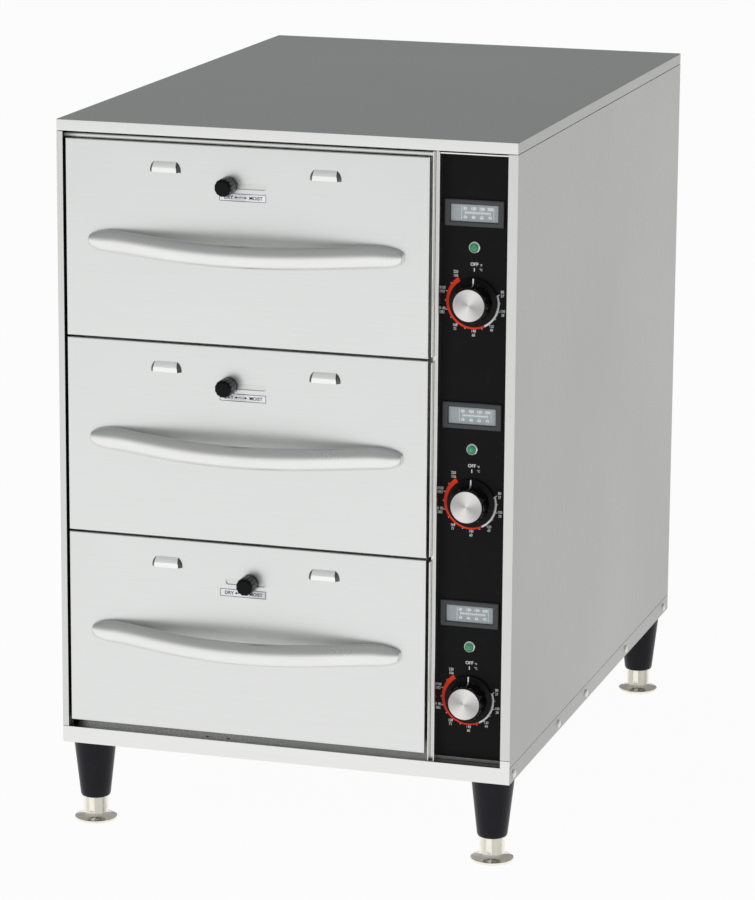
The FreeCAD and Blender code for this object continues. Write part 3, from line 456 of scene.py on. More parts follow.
@dataclass(frozen=True)
class SpunDisc(Finish):
    """Aluminium disc turned on a lathe: circular grooves round an axis along Y, and a soft radial highlight
    painted into its colour.
    """

    centre: Pair = (0.0, 0.0)
    colour: Colour = (0.70, 0.69, 0.67)
    roughness: float = 0.26
    groove: float = 0.0006

    def draw(self, graph: Graph) -> None:
        """Grooves follow the distance from the axis; the painted highlight follows the angle round it.

        Args:
            graph: the material's node tree.
        """
        where = graph.place()
        across = where.axis(0) - self.centre[0]
        up = where.axis(2) - self.centre[1]
        radius = (across * across + up * up) ** 0.5
        angle = graph.node("ShaderNodeMath", {"operation": "ARCTAN2"}, {0: up, 1: across})
        wobble = graph.noise(300.0, 2.0)
        grooves = (radius * (2 * math.pi / self.groove) + wobble * 2.0).sine() * 0.5 + 0.5
        # Painted highlight: the colour lightens and darkens with the angle round the axis.
        painted_highlight = (angle * 2.0 - 0.9).sine() * 0.5 + 0.5
        tint = 0.62 + painted_highlight * 0.5 + (grooves - 0.5) * 0.06
        gloss = self.roughness + (wobble - 0.5) * 0.1
        graph.metal(tint.times(self.colour), gloss, graph.bump(grooves, 0.00003, 0.6))


@dataclass(frozen=True)
class ColouredLens(Finish):
    """Moulded translucent lens whose colour is lightened in small cells, a painted sparkle standing in for light
    caught by its facets.
    """

    colour: Colour = (0.006, 0.20, 0.08)
    core: Colour = (0.04, 0.42, 0.18)

    def draw(self, graph: Graph) -> None:
        """Small cells and clouds lighten the colour towards a brighter green: painted sparkle where the lens's
        prisms catch light.

        Args:
            graph: the material's node tree.
        """
        cells = graph.node("ShaderNodeTexVoronoi", {"feature": "F1"},
                           {"Vector": graph.place((650.0, 650.0, 650.0)), "Scale": 1.0}, output="Distance")
        cloud = graph.noise(260.0, 1.0)
        # Painted sparkle: cells and clouds lighten the colour.
        colour = graph.mix(cells.ramp(0.2, 0.8) * 0.7 + (cloud - 0.5) * 0.4, self.colour, self.core)
        graph.surface({"Base Color": colour, "Roughness": 0.12 + cloud * 0.08, "Coat Weight": 0.6,
                       "Coat Roughness": 0.05, "Normal": graph.bump(cells, 0.0003, 0.7)})


@dataclass(frozen=True)
class ClearWindow(Finish):
    """Thin clear plate with a little haze."""

    colour: Colour = (0.80, 0.84, 0.86)
    haze: float = 0.10

    def draw(self, graph: Graph) -> None:
        """Mostly see-through, with dust that shows a little more in places.

        Args:
            graph: the material's node tree.
        """
        dust = graph.noise(120.0, 4.0, 0.6).ramp(0.45, 0.9)
        graph.surface({"Base Color": self.colour, "Roughness": 0.08 + dust * 0.1,
                       "Alpha": self.haze + dust * 0.06, "Specular IOR Level": 0.6})


@dataclass(frozen=True)
class Blanket(Finish):
    """Mineral wool: matted fibres in two tones."""

    light: Colour = (0.72, 0.66, 0.46)
    dark: Colour = (0.45, 0.38, 0.22)

    def draw(self, graph: Graph) -> None:
        """Fibres run every way in flat layers.

        Args:
            graph: the material's node tree.
        """
        fibres = graph.noise((240.0, 240.0, 900.0), 5.0, 0.75)
        tufts = graph.noise((60.0, 60.0, 120.0), 3.0)
        colour = graph.mix(fibres * 0.7 + tufts * 0.3, self.dark, self.light)
        graph.surface({"Base Color": colour, "Roughness": 0.9 + (fibres - 0.5) * 0.15,
                       "Normal": graph.bump(fibres, 0.0015, 0.9)})


@dataclass(frozen=True)
class Ink(Finish):
    """Screen-printed ink with slightly uneven cover."""

    colour: Colour = (0.80, 0.80, 0.80)
    worn: Colour = (0.35, 0.35, 0.35)
    roughness: float = 0.45

    def draw(self, graph: Graph) -> None:
        """Small thin spots let the ground show through.

        Args:
            graph: the material's node tree.
        """
        thin = graph.noise(900.0, 3.0, 0.6).ramp(0.62, 0.85)
        graph.surface({"Base Color": graph.mix(thin * 0.5, self.colour, self.worn),
                       "Roughness": self.roughness + thin * 0.15, "Specular IOR Level": 0.15})


@dataclass(frozen=True)
class HeatedSheath(Finish):
    """Element sheath tinted brown and blue by heat."""

    cool: Colour = (0.30, 0.27, 0.24)
    hot: Colour = (0.16, 0.13, 0.15)

    def draw(self, graph: Graph) -> None:
        """Tints change along the tube.

        Args:
            graph: the material's node tree.
        """
        bands = graph.noise((12.0, 30.0, 12.0), 3.0)
        grit = graph.noise(1200.0, 2.0)
        graph.surface({"Base Color": graph.mix(bands.ramp(0.3, 0.7), self.cool, self.hot), "Metallic": 0.8,
                       "Roughness": 0.42 + (grit - 0.5) * 0.2, "Normal": graph.bump(grit, 0.00005, 0.5)})


# ---------------------------------------------------------------- shapes
def configure(thing: bpy.types.bpy_struct, **settings: object) -> bpy.types.bpy_struct:
    """Sets several settings of one of Blender's things.

    Args:
        thing: a modifier, curve, lamp or camera.
        settings: the settings and their values.

    Returns:
        The same thing.
    """
    for name, value in settings.items():
        setattr(thing, name, value)
    return thing


def put(name: str, data: bpy.types.ID) -> bpy.types.Object:
    """Adds an object with its data to the scene.

    Args:
        name: the object's name.
        data: its mesh, lamp or camera.

    Returns:
        The object.
    """
    thing = bpy.data.objects.new(name, data)
    bpy.context.scene.collection.objects.link(thing)
    return thing


def on_face(middle: Vector, x: float, z: float) -> Vector:
    """A point of an upright face, in millimetres right of and above a middle."""
    return middle + Vector((x, 0.0, z)) * MM


def oblong(middle: Vector, half: float, tall: float) -> List[Vector]:
    """Corners of an upright oblong, from its half width and half height in millimetres."""
    return [on_face(middle, x, z) for x, z in ((-half, -tall), (half, -tall), (half, tall), (-half, tall))]


def clockwise(degrees: float) -> Vector:
    """Direction at an angle from the top, clockwise as seen from the front."""
    return Vector((math.sin(math.radians(degrees)), 0.0, math.cos(math.radians(degrees))))


def fluting(count: int, depth: float, begin: Pair, end: Pair,
            turn: float = 0.0) -> Callable[[float, float], float]:
    """Flutes round a knob's grip that fade out at both ends.

    Args:
        count: how many flutes there are.
        depth: the share of the radius that a flute takes away.
        begin: the height where they begin and the length over which they deepen, in millimetres.
        end: the height where they end and the length over which they fade.
        turn: how far they are turned, in radians.

    Returns:
        A shape for a turned solid.
    """

    def shape(angle: float, height: float) -> float:
        """Share of the radius left at an angle and a height in millimetres.

        Args:
            angle: the angle round the axis.
            height: the height along it.

        Returns:
            The share.
        """
        deepen = min(1.0, max(0.0, (height - begin[0]) / begin[1]))
        fade = min(1.0, max(0.0, (end[0] - height) / end[1]))
        return 1.0 - depth * deepen * fade * max(0.0, math.cos(count * (angle + turn))) ** 1.5

    return shape


class Shape:
    """A mesh under construction in the frame of the part; its points are in metres."""

    def __init__(self) -> None:
        """Starts with nothing."""
        self.mesh = bmesh.new()

    def face_outward(self) -> None:
        """Turns every face outward."""
        bmesh.ops.recalc_face_normals(self.mesh, faces=self.mesh.faces[:])

    def place(self, name: str) -> bpy.types.Object:
        """Turns the shape into an object of the scene, and ends it.

        Args:
            name: the object's name.

        Returns:
            The object.
        """
        data = bpy.data.meshes.new(name)
        self.mesh.normal_update()
        self.mesh.to_mesh(data)
        self.mesh.free()
        return put(name, data)

    def piece(self, name: str, body: str, finish: Finish, slot: Optional[str] = None) -> bpy.types.Object:
        """Turns the shape into a piece that rides on a body.

        Args:
            name: the piece's name.
            body: the body it moves with.
            finish: its material.
            slot: the record's material slot, where it has one for this finish; it is not used.

        Returns:
            The new object.
        """
        piece = self.place(name)
        finish.cover(piece)
        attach(piece, body)
        log.info("added %s in %s", name, finish.name)
        return piece

    def ring(self, points: Iterable[Point]) -> List[bmesh.types.BMVert]:
        """Adds a row of vertices."""
        return [self.mesh.verts.new(point) for point in points]

    def bridge(self, first: Sequence[bmesh.types.BMVert], second: Sequence[bmesh.types.BMVert]) -> None:
        """Joins two loops of as many vertices with quads.

        Args:
            first: one loop.
            second: the other loop.
        """
        count = len(first)
        for i in range(count):
            j = (i + 1) % count
            self.mesh.faces.new((first[i], first[j], second[j], second[i]))

    def slab(self, outline: Sequence[Vector], thickness: Vector) -> None:
        """Adds a closed plate: an outline and its copy moved by a thickness.

        Args:
            outline: points round the plate.
            thickness: the way from the outline to its copy.
        """
        front = self.ring(outline)
        rear = self.ring([point + thickness for point in outline])
        self.mesh.faces.new(front)
        self.mesh.faces.new(list(reversed(rear)))
        self.bridge(rear, front)

    def loft(self, rows: Sequence[List[bmesh.types.BMVert]]) -> None:
        """Joins closed rows of vertices into a body with flat ends.

        Args:
            rows: the rows from one end to the other.
        """
        for first, second in zip(rows, rows[1:]):
            self.bridge(first, second)
        self.mesh.faces.new(rows[0])
        self.mesh.faces.new(list(reversed(rows[-1])))
        self.face_outward()

    def frame_lines(self, corners: Sequence[Vector], width: float, depth: float) -> None:
        """Adds flat lines, sized in millimetres, from corner to corner and back to the first: a printed border,
        or a painted shadow band.
        """
        for start, end in zip(corners, [*corners[1:], corners[0]]):
            self.strip(start, end, width, depth)

    def strip(self, start: Vector, end: Vector, width: float, depth: float) -> None:
        """Adds a straight flat line that faces -Y: a printed line, or a strip of a painted shadow band.

        Args:
            start: one end, on the surface.
            end: the other end.
            width: the line's width in millimetres.
            depth: how far the ink stands proud, in millimetres.
        """
        side = (end - start).normalized().cross(Vector((0.0, 1.0, 0.0))) * (width * MM / 2)
        self.slab([start - side, end - side, end + side, start + side], Vector(FORWARD) * (depth * MM))

    def lettering(self, text: str, centre: Vector, height: float, depth: float,
                  bold: float = 0.0, width: float = 1.0) -> None:
        """Adds flat letters that face -Y.

        Args:
            text: the words or figures.
            centre: the middle of the line, on the surface.
            height: the height of the capitals in millimetres.
            depth: how far the ink stands proud, in millimetres.
            bold: how far the outlines are grown, as a share of the height.
            width: how much wider than usual the letters are set.
        """
        curve = configure(bpy.data.curves.new("lettering", "FONT"), body=text, align_x="CENTER",
                          align_y="CENTER", size=1.0, resolution_u=3, offset=bold * 0.7, extrude=0.0)
        carrier = bpy.data.objects.new("lettering", curve)
        flat = bpy.data.meshes.new_from_object(carrier)
        top = max(vertex.co.y for vertex in flat.vertices)
        low = min(vertex.co.y for vertex in flat.vertices)
        scale = height * MM / (top - low)
        middle = (top + low) / 2
        place = (Matrix.Translation(centre + Vector(FORWARD) * (depth * MM))
                 @ Matrix.Rotation(math.pi / 2, 4, "X")
                 @ Matrix.Diagonal((scale * width, scale, scale, 1.0))
                 @ Matrix.Translation((0.0, -middle, 0.0)))
        flat.transform(place)
        self.mesh.from_mesh(flat)
        bpy.data.objects.remove(carrier)
        bpy.data.curves.remove(curve)
        bpy.data.meshes.remove(flat)

    def turned(self, centre: Vector, profile: Sequence[Pair], steps: int = 72,
               shape: Optional[Callable[[float, float], float]] = None) -> None:
        """Adds a turned solid whose height grows towards the front.

        Args:
            centre: where the profile's zero height lies.
            profile: radius and height from one end of the axis to the other, in millimetres.
            steps: vertices round a full circle.
            shape: what the radius is multiplied by at an angle and a height in millimetres.
        """
        upright = Vector((0.0, 0.0, 1.0)).rotation_difference(Vector(FORWARD)).to_matrix()
        rows = []
        for radius, height in profile:
            row = []
            for i in range(steps if radius > 0.0 else 1):
                angle = 2 * math.pi * i / steps
                reach = radius * (shape(angle, height) if shape else 1.0)
                point = Vector((reach * math.cos(angle), reach * math.sin(angle), height)) * MM
                row.append(self.mesh.verts.new(centre + upright @ point))
            rows.append(row)
        for first, second in zip(rows, rows[1:]):
            if len(first) == len(second):
                self.bridge(first, second)
                continue
            tip, rim = (first, second) if len(first) == 1 else (second, first)
            for i in range(steps):
                self.mesh.faces.new((tip[0], rim[i], rim[(i + 1) % steps]))
        self.face_outward()

    def ribbon(self, path: Sequence[Tuple[Vector, Vector]], width: float, depth: float) -> None:
        """Adds an upright printed line that follows a bent surface.

        Args:
            path: points on the surface, each with the surface's outward direction.
            width: the line's width in millimetres.
            depth: how far the ink stands proud, in millimetres.
        """
        side = Vector((width * MM / 2, 0.0, 0.0))
        rows = []
        for base, outward in path:
            lift = outward.normalized() * (depth * MM)
            rows.append(self.ring((base - side, base + side, base + side + lift, base - side + lift)))
        self.loft(rows)


def crease_shading(limit: float = 35.0) -> bpy.types.NodeTree:
    """The modifier tree that shades faces smooth and keeps edges sharper than a limit, made once.

    Args:
        limit: the greatest angle in degrees that is shaded smooth.

    Returns:
        The tree.
    """
    name = f"crease shading {limit:.0f}"
    tree = bpy.data.node_groups.get(name)
    if tree is not None:
        return tree
    tree = bpy.data.node_groups.new(name, "GeometryNodeTree")
    for way in ("INPUT", "OUTPUT"):
        tree.interface.new_socket(name="Geometry", in_out=way, socket_type="NodeSocketGeometry")
    graph = Graph(tree)
    angle = graph.node("GeometryNodeInputMeshEdgeAngle")
    soft = graph.node("FunctionNodeCompare", {"operation": "LESS_EQUAL"}, {0: angle, 1: math.radians(limit)})
    source = graph.node("NodeGroupInput")
    faces = graph.node("GeometryNodeSetShadeSmooth", {"domain": "FACE"}, {0: source})
    edges = graph.node("GeometryNodeSetShadeSmooth", {"domain": "EDGE"}, {0: faces, "Shade Smooth": soft})
    graph.node("NodeGroupOutput", None, {0: edges})
    return tree


def dress(node: str, finish: Finish, bevel: float = 0.0, segments: int = 2, angle: float = 40.0,
          crease: float = 14.0) -> bpy.types.Object:
    """Gives a carried-over piece its finish, welded seams, rounded edges and smooth shading.

    Args:
        node: the piece's name.
        finish: its material.
        bevel: the width of its edge rounding in millimetres; 0 leaves the edges sharp.
        segments: steps in the rounding.
        angle: the least angle, in degrees, that is rounded.
        crease: the greatest angle, in degrees, that is shaded smooth.

    Returns:
        The piece.
    """
    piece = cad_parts[node]
    normals = piece.data.attributes.get("custom_normal")
    if normals is not None:
        piece.data.attributes.remove(normals)
    configure(piece.modifiers.new("seam weld", "WELD"), merge_threshold=0.000005)
    if bevel > 0.0:
        configure(piece.modifiers.new("flat faces", "DECIMATE"), decimate_type="DISSOLVE",
                  angle_limit=math.radians(0.4), delimit={"NORMAL", "MATERIAL"})
        configure(piece.modifiers.new("edge rounding", "BEVEL"), width=bevel * MM, segments=segments,
                  limit_method="ANGLE", angle_limit=math.radians(angle), harden_normals=False,
                  use_clamp_overlap=True)
    shade(piece, crease)
    finish.cover(piece)
    log.info("dressed %s in %s", node, finish.name)
    return piece


def shade(piece: bpy.types.Object, limit: float = 35.0) -> None:
    """Adds the smooth shading modifier."""
    configure(piece.modifiers.new("crease shading", "NODES"), node_group=crease_shading(limit))


# ---------------------------------------------------------------- finishes of this warmer
# The shell's steels are lit and shaded copies of one brushed stainless, laid by the way faces look: painted
# shade on the sides, rear and top, painted light on faces that look to the front.
SHELL_STEEL_PAINTED_SHADE = BrushedSteel("shell steel painted shade", (0.345, 0.345, 0.337), Grain.UPRIGHT, 0.28, 0.09, 0.12)
REAR_STEEL_PAINTED_SHADE = BrushedSteel("rear steel painted shade", (0.50, 0.50, 0.49), Grain.UPRIGHT, 0.26, 0.09, 0.12)
EDGE_STEEL_PAINTED_LIGHT = BrushedSteel("edge steel painted light", (0.71, 0.715, 0.70), Grain.UPRIGHT, 0.30, 0.05, 0.05)
TOP_STEEL_PAINTED_SHADE = BrushedSteel("top steel painted shade", (0.70, 0.70, 0.685), Grain.LENGTHWISE, 0.28, 0.05, 0.05)
FLANGE_STEEL_PAINTED_LIGHT = BrushedSteel("flange steel painted light", (0.85, 0.855, 0.84), Grain.ACROSS, 0.30, 0.05, 0.04)
# Painted shade: a darker copy of the steel for the recessed ledge under the control panel.
SILL_STEEL_PAINTED_SHADE = BrushedSteel("sill steel painted shade", (0.30, 0.30, 0.29), Grain.ACROSS, 0.34, 0.10, 0.12)
# Painted highlight and shade on the frame's header bead, and a painted shadow in its left corner.
FRAME_STEEL_PAINTED_SHADE = BeadSteel("frame steel painted shade", (0.80, 0.81, 0.79), Grain.ACROSS, 0.24, 0.06, 0.06)
POST_STEEL = BrushedSteel("post steel", (0.76, 0.76, 0.745), Grain.UPRIGHT, 0.24, 0.06, 0.06)
DRAWER_STEEL = BrushedSteel("drawer front steel", (0.80, 0.81, 0.80), Grain.ACROSS, 0.34, 0.05, 0.03)
# Painted light and shade on the raised vents: a painted highlight on their faces, painted light on their slopes
# and painted shade on their ends.
VENT_PAINTED_HIGHLIGHT = BrushedSteel("vent painted highlight", (0.97, 0.97, 0.96), Grain.ACROSS, 0.30, 0.03, 0.03)
VENT_SLOPE_PAINTED_LIGHT = PlatedMetal("vent slope painted light", (0.93, 0.93, 0.92), 0.30, 0.0006, (0.88, 0.88, 0.87), 0.1, 0.35)
VENT_END_PAINTED_SHADE = BrushedSteel("vent end painted shade", (0.16, 0.16, 0.155), Grain.ACROSS, 0.40, 0.10, 0.10)
INNER_STEEL = BrushedSteel("inner steel", (0.55, 0.55, 0.54), Grain.LENGTHWISE, 0.38, 0.08, 0.10)
SHUTTER_STEEL = BrushedSteel("shutter steel", (0.78, 0.78, 0.77), Grain.ACROSS, 0.36, 0.05, 0.05)
RAIL_STEEL = BrushedSteel("rail zinc", (0.55, 0.56, 0.56), Grain.LENGTHWISE, 0.36, 0.10, 0.14)
PAN_STEEL = BrushedSteel("pan steel", (0.66, 0.66, 0.65), Grain.ACROSS, 0.22, 0.06, 0.08)
HANDLE_METAL = SatinCasting("handle casting", (0.86, 0.865, 0.845), 0.33)
FOOT_METAL = PlatedMetal("foot plate", (0.98, 0.94, 0.83), 0.14, stain_amount=0.10, metallic=0.85)
SCREW_METAL = PlatedMetal("screw plate", (0.96, 0.955, 0.94), 0.24, 0.0004, stain_amount=0.10, metallic=0.4)
BEZEL_CHROME = PlatedMetal("bezel chrome", (0.86, 0.86, 0.86), 0.12, 0.0005, (0.6, 0.6, 0.6), 0.1)
PANEL_BLACK = Moulding("panel black", (0.004, 0.004, 0.0045), 0.42, 1100.0, 0.00002, 0.015, shine=0.12)
LEG_BLACK = Moulding("leg black", (0.006, 0.006, 0.010), 0.34, 700.0, 0.00004, 0.03, shine=0.20)
KNOB_BLACK = Moulding("knob black", (0.002, 0.002, 0.0025), 0.12, 500.0, 0.00001, 0.01, shine=0.14,
                      flank_coat=1.0)
VENT_KNOB_BLACK = Moulding("vent knob black", (0.002, 0.002, 0.0025), 0.16, 500.0, 0.00001, 0.01, shine=0.14,
                           flank_coat=0.25)
HOUSING_GREY = Moulding("housing grey", (0.046, 0.048, 0.050), 0.48, 1600.0, 0.00003, 0.05)
FITTING_GREY = Moulding("fitting grey", (0.05, 0.05, 0.055), 0.5, 1500.0, 0.00003, 0.08)
LENS_GREEN = ColouredLens("green lens")
WINDOW_CLEAR = ClearWindow("clear window")
BLANKET = Blanket("wool blanket")
ELEMENT_SHEATH = HeatedSheath("element sheath")
WHITE_INK = Ink("white ink", (0.95, 0.95, 0.95), (0.75, 0.75, 0.75))
RED_INK = Ink("red ink", (0.92, 0.045, 0.012), (0.70, 0.03, 0.01))
DARK_INK = Ink("dark ink", (0.02, 0.02, 0.035), (0.08, 0.08, 0.10))
BLUE_INK = Ink("blue ink", (0.05, 0.07, 0.16), (0.12, 0.14, 0.22))
LABEL_WHITE = Ink("label white", (0.96, 0.96, 0.97), (0.90, 0.90, 0.90), 0.35)
PLATE_GREY = Ink("scale plate", (0.33, 0.38, 0.40), (0.27, 0.31, 0.33), 0.35)


# ---------------------------------------------------------------- studio
@dataclass
class Studio:
    """Floor, light and camera."""

    lens: float = 160.24
    azimuth: float = 16.91
    elevation: float = 13.11
    roll: float = 0.40
    distance: float = 4.407
    sensor: float = 36.0
    clip: float = 200.0
    aim: Point = (0.0, 0.0015, 0.3755)
    offset: Pair = (0.0053, 0.0279)
    floor_half: float = 30.0
    floor_drop: float = 0.0004
    floor_colour: Colour = (0.86, 0.86, 0.85)
    floor_glow: float = 0.96
    floor_bright_to: float = -0.64
    floor_dim_from: float = -0.40
    floor_dim: float = 0.43
    sky_front: Colour = (0.70, 0.705, 0.71)
    sky_over: Colour = (0.34, 0.345, 0.35)
    sky_back: Colour = (0.27, 0.275, 0.28)
    sky_low: float = 0.0
    sky_high: float = 0.40
    sky_turn: Pair = (0.2, 0.8)
    key_place: Point = (-1.9, -2.6, 2.3)
    key_size: float = 1.6
    key_power: float = 34.0

    def build(self) -> None:
        """Sets up everything around the warmer."""
        bpy.context.scene.view_settings.view_transform = "Standard"
        self._floor()
        self._sky()
        self._key_lamp()
        self._camera()
        log.info("studio ready")

    def _floor(self) -> None:
        """Wide pale floor that shows white and keeps a soft shadow."""
        sheet = Shape()
        half = self.floor_half
        corners = ((-half, -half), (half, -half), (half, half), (-half, half))
        sheet.mesh.faces.new(sheet.ring([(x, y, -self.floor_drop) for x, y in corners]))
        floor = sheet.place("floor")
        material = bpy.data.materials.new("pale floor")
        material.use_nodes = True
        graph = Graph(material.node_tree)
        camera, glossy, through = (graph.node("ShaderNodeLightPath", output=ray) for ray in (
            "Is Camera Ray", "Is Glossy Ray", "Is Transmission Ray"))
        seen = (camera + glossy + through).clamped()
        matte = graph.node("ShaderNodeBsdfDiffuse", None, {"Color": self.floor_colour})
        glow = graph.node("ShaderNodeEmission", None, {"Color": (1.0, 1.0, 1.0), "Strength": 1.0})
        depth = graph.place().axis(1)
        ahead = 1.0 - depth.ramp(self.floor_bright_to, self.floor_dim_from) * (1.0 - self.floor_dim)
        share = (seen + (1.0 - seen) * ahead).clamped() * self.floor_glow
        both = graph.node("ShaderNodeMixShader", None, {0: share, 1: matte, 2: glow})
        graph.node("ShaderNodeOutputMaterial", None, {"Surface": both})
        floor.data.materials.append(material)

    def _sky(self) -> None:
        """Studio light all round: bright in front, dimmer overhead and behind."""
        world = bpy.data.worlds.new("studio light")
        bpy.context.scene.world = world
        world.use_nodes = True
        graph = Graph(world.node_tree)
        way = graph.node("ShaderNodeTexCoord", output="Generated")
        front = (0.5 - way.axis(1) * 0.5).ramp(*self.sky_turn)
        near = graph.mix(way.axis(2).ramp(self.sky_low, self.sky_high), self.sky_front, self.sky_over)
        colour = graph.mix(front, self.sky_back, near)
        light = graph.node("ShaderNodeBackground", None, {"Color": colour, "Strength": 1.0})
        graph.node("ShaderNodeOutputWorld", None, {"Surface": light})

    def _key_lamp(self) -> None:
        """Broad soft lamp from the upper left."""
        lamp = configure(bpy.data.lights.new("key lamp", "AREA"), shape="DISK", size=self.key_size,
                         energy=self.key_power)
        aim = Vector(self.aim) - Vector(self.key_place)
        configure(put("key lamp", lamp), location=self.key_place, visible_glossy=False,
                  rotation_euler=aim.to_track_quat("-Z", "Y").to_euler())

    def _camera(self) -> None:
        """Camera at the viewing angle."""
        azimuth, elevation, roll = (math.radians(a) for a in (self.azimuth, self.elevation, self.roll))
        back = Vector((math.sin(azimuth) * math.cos(elevation), -math.cos(azimuth) * math.cos(elevation),
                       math.sin(elevation)))
        level = Vector((0.0, 0.0, 1.0)).cross(back).normalized()
        rise = back.cross(level)
        right = level * math.cos(roll) + rise * math.sin(roll)
        top = rise * math.cos(roll) - level * math.sin(roll)
        place = Vector(self.aim) - right * self.offset[0] - top * self.offset[1] + back * self.distance
        data = configure(bpy.data.cameras.new("camera"), lens=self.lens, sensor_width=self.sensor,
                         clip_end=self.clip)
        camera = put("camera", data)
        turn = Matrix((right, top, back)).transposed().to_4x4()
        camera.matrix_world = Matrix.Translation(place) @ turn
        bpy.context.scene.camera = camera


# ---------------------------------------------------------------- cabinet
@dataclass
class Cabinet:
    """Shell, front frame, cavity, insulation and everything fixed inside."""

    shell_bevel: float = 0.5
    fold_bevel: float = 0.6
    post_bevel: float = 0.7
    inner_bevel: float = 0.3
    fitting_bevel: float = 0.4
    blanket_bevel: float = 4.0
    straight: float = 0.9
    upward: float = 0.5

    def build(self) -> None:
        """Dresses each fixed piece."""
        # Painted light and shade: faces that look to the front take a lighter copy of the steel, and the sides,
        # rear faces and top darker copies.
        dress("rear_panel", REAR_STEEL_PAINTED_SHADE, self.shell_bevel)
        for node in ("side_panel_left", "side_panel_right"):
            self._repaint(dress(node, SHELL_STEEL_PAINTED_SHADE, self.shell_bevel), EDGE_STEEL_PAINTED_LIGHT, self._faces_front)
        tray = dress("base_tray", SHELL_STEEL_PAINTED_SHADE, self.shell_bevel)
        top = dress("top_cover", SHELL_STEEL_PAINTED_SHADE, self.shell_bevel, 3)
        for piece in (tray, top):
            self._repaint(piece, FLANGE_STEEL_PAINTED_LIGHT, self._faces_front)
            self._repaint(piece, REAR_STEEL_PAINTED_SHADE, lambda face: face.normal.y > self.straight)
        self._repaint(top, TOP_STEEL_PAINTED_SHADE, lambda face: face.normal.z > self.upward)
        # The ledge under the control panel takes the darker sill copy as painted shade.
        low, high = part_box("control_panel")
        self._repaint(dress("front_frame", FRAME_STEEL_PAINTED_SHADE, self.fold_bevel), SILL_STEEL_PAINTED_SHADE,
                      lambda face: face.center.z < low.z and low.x < face.center.x < high.x)
        dress("divider_post", POST_STEEL, self.post_bevel, 3)
        for node in ("cavity_wall_left", "cavity_wall_right", "cavity_back", "cavity_ceiling", "cavity_floor"):
            dress(node, INNER_STEEL, self.inner_bevel)
        dress("cabinet_rails", RAIL_STEEL, self.inner_bevel)
        dress("insulation", BLANKET, self.blanket_bevel, 3)
        dress("heaters", ELEMENT_SHEATH, crease=40.0)
        dress("cabinet_screws", SCREW_METAL, crease=40.0)
        dress("cord_gland", FITTING_GREY, self.fitting_bevel, crease=35.0)
        dress("terminal_block", FITTING_GREY, self.fitting_bevel)

    def _faces_front(self, face: bpy.types.MeshPolygon) -> bool:
        """Whether a face looks straight to the front."""
        return face.normal.y < -self.straight

    @staticmethod
    def _repaint(piece: bpy.types.Object, finish: Finish,
                 chosen: Callable[[bpy.types.MeshPolygon], bool]) -> None:
        """Lays a lighter or darker copy of the steel on the faces that a test picks out, as painted light or
        shade.

        Args:
            piece: the piece, which already wears its main finish.
            finish: the lighter or darker copy, which paints light or shade on those faces.
            chosen: says whether a face takes it.
        """
        piece.data.materials.append(finish.build())
        for face in piece.data.polygons:
            if chosen(face):
                face.material_index = len(piece.data.materials) - 1


# ---------------------------------------------------------------- control strip
@dataclass
class ControlStrip:
    """Black panel with thermometers, pilot lights and dials."""

    panel_bevel: float = 0.4
    housing_bevel: float = 0.7
    bezel_bevel: float = 0.4
    lens_bevel: float = 0.8
    thermostat_bevel: float = 0.6
    round_crease: float = 35.0

    def build(self) -> None:
        """Dresses the panel and builds each zone's dial, scale and thermometer."""
        dress("control_panel", PANEL_BLACK, self.panel_bevel)
        dress("thermometers", HOUSING_GREY, self.housing_bevel, 3)
        dress("thermometer_windows", WINDOW_CLEAR)
        dress("pilot_lights", BEZEL_CHROME, self.bezel_bevel, 3, crease=self.round_crease)
        dress("pilot_lenses", LENS_GREEN, self.lens_bevel, 3, crease=self.round_crease)
        dress("thermostats", FITTING_GREY, self.thermostat_bevel)
        for k in DRAWERS:
            DialScale(k).build(Dial(k).build())
            Thermometer(k).build()
            log.info("control zone %d ready", k)


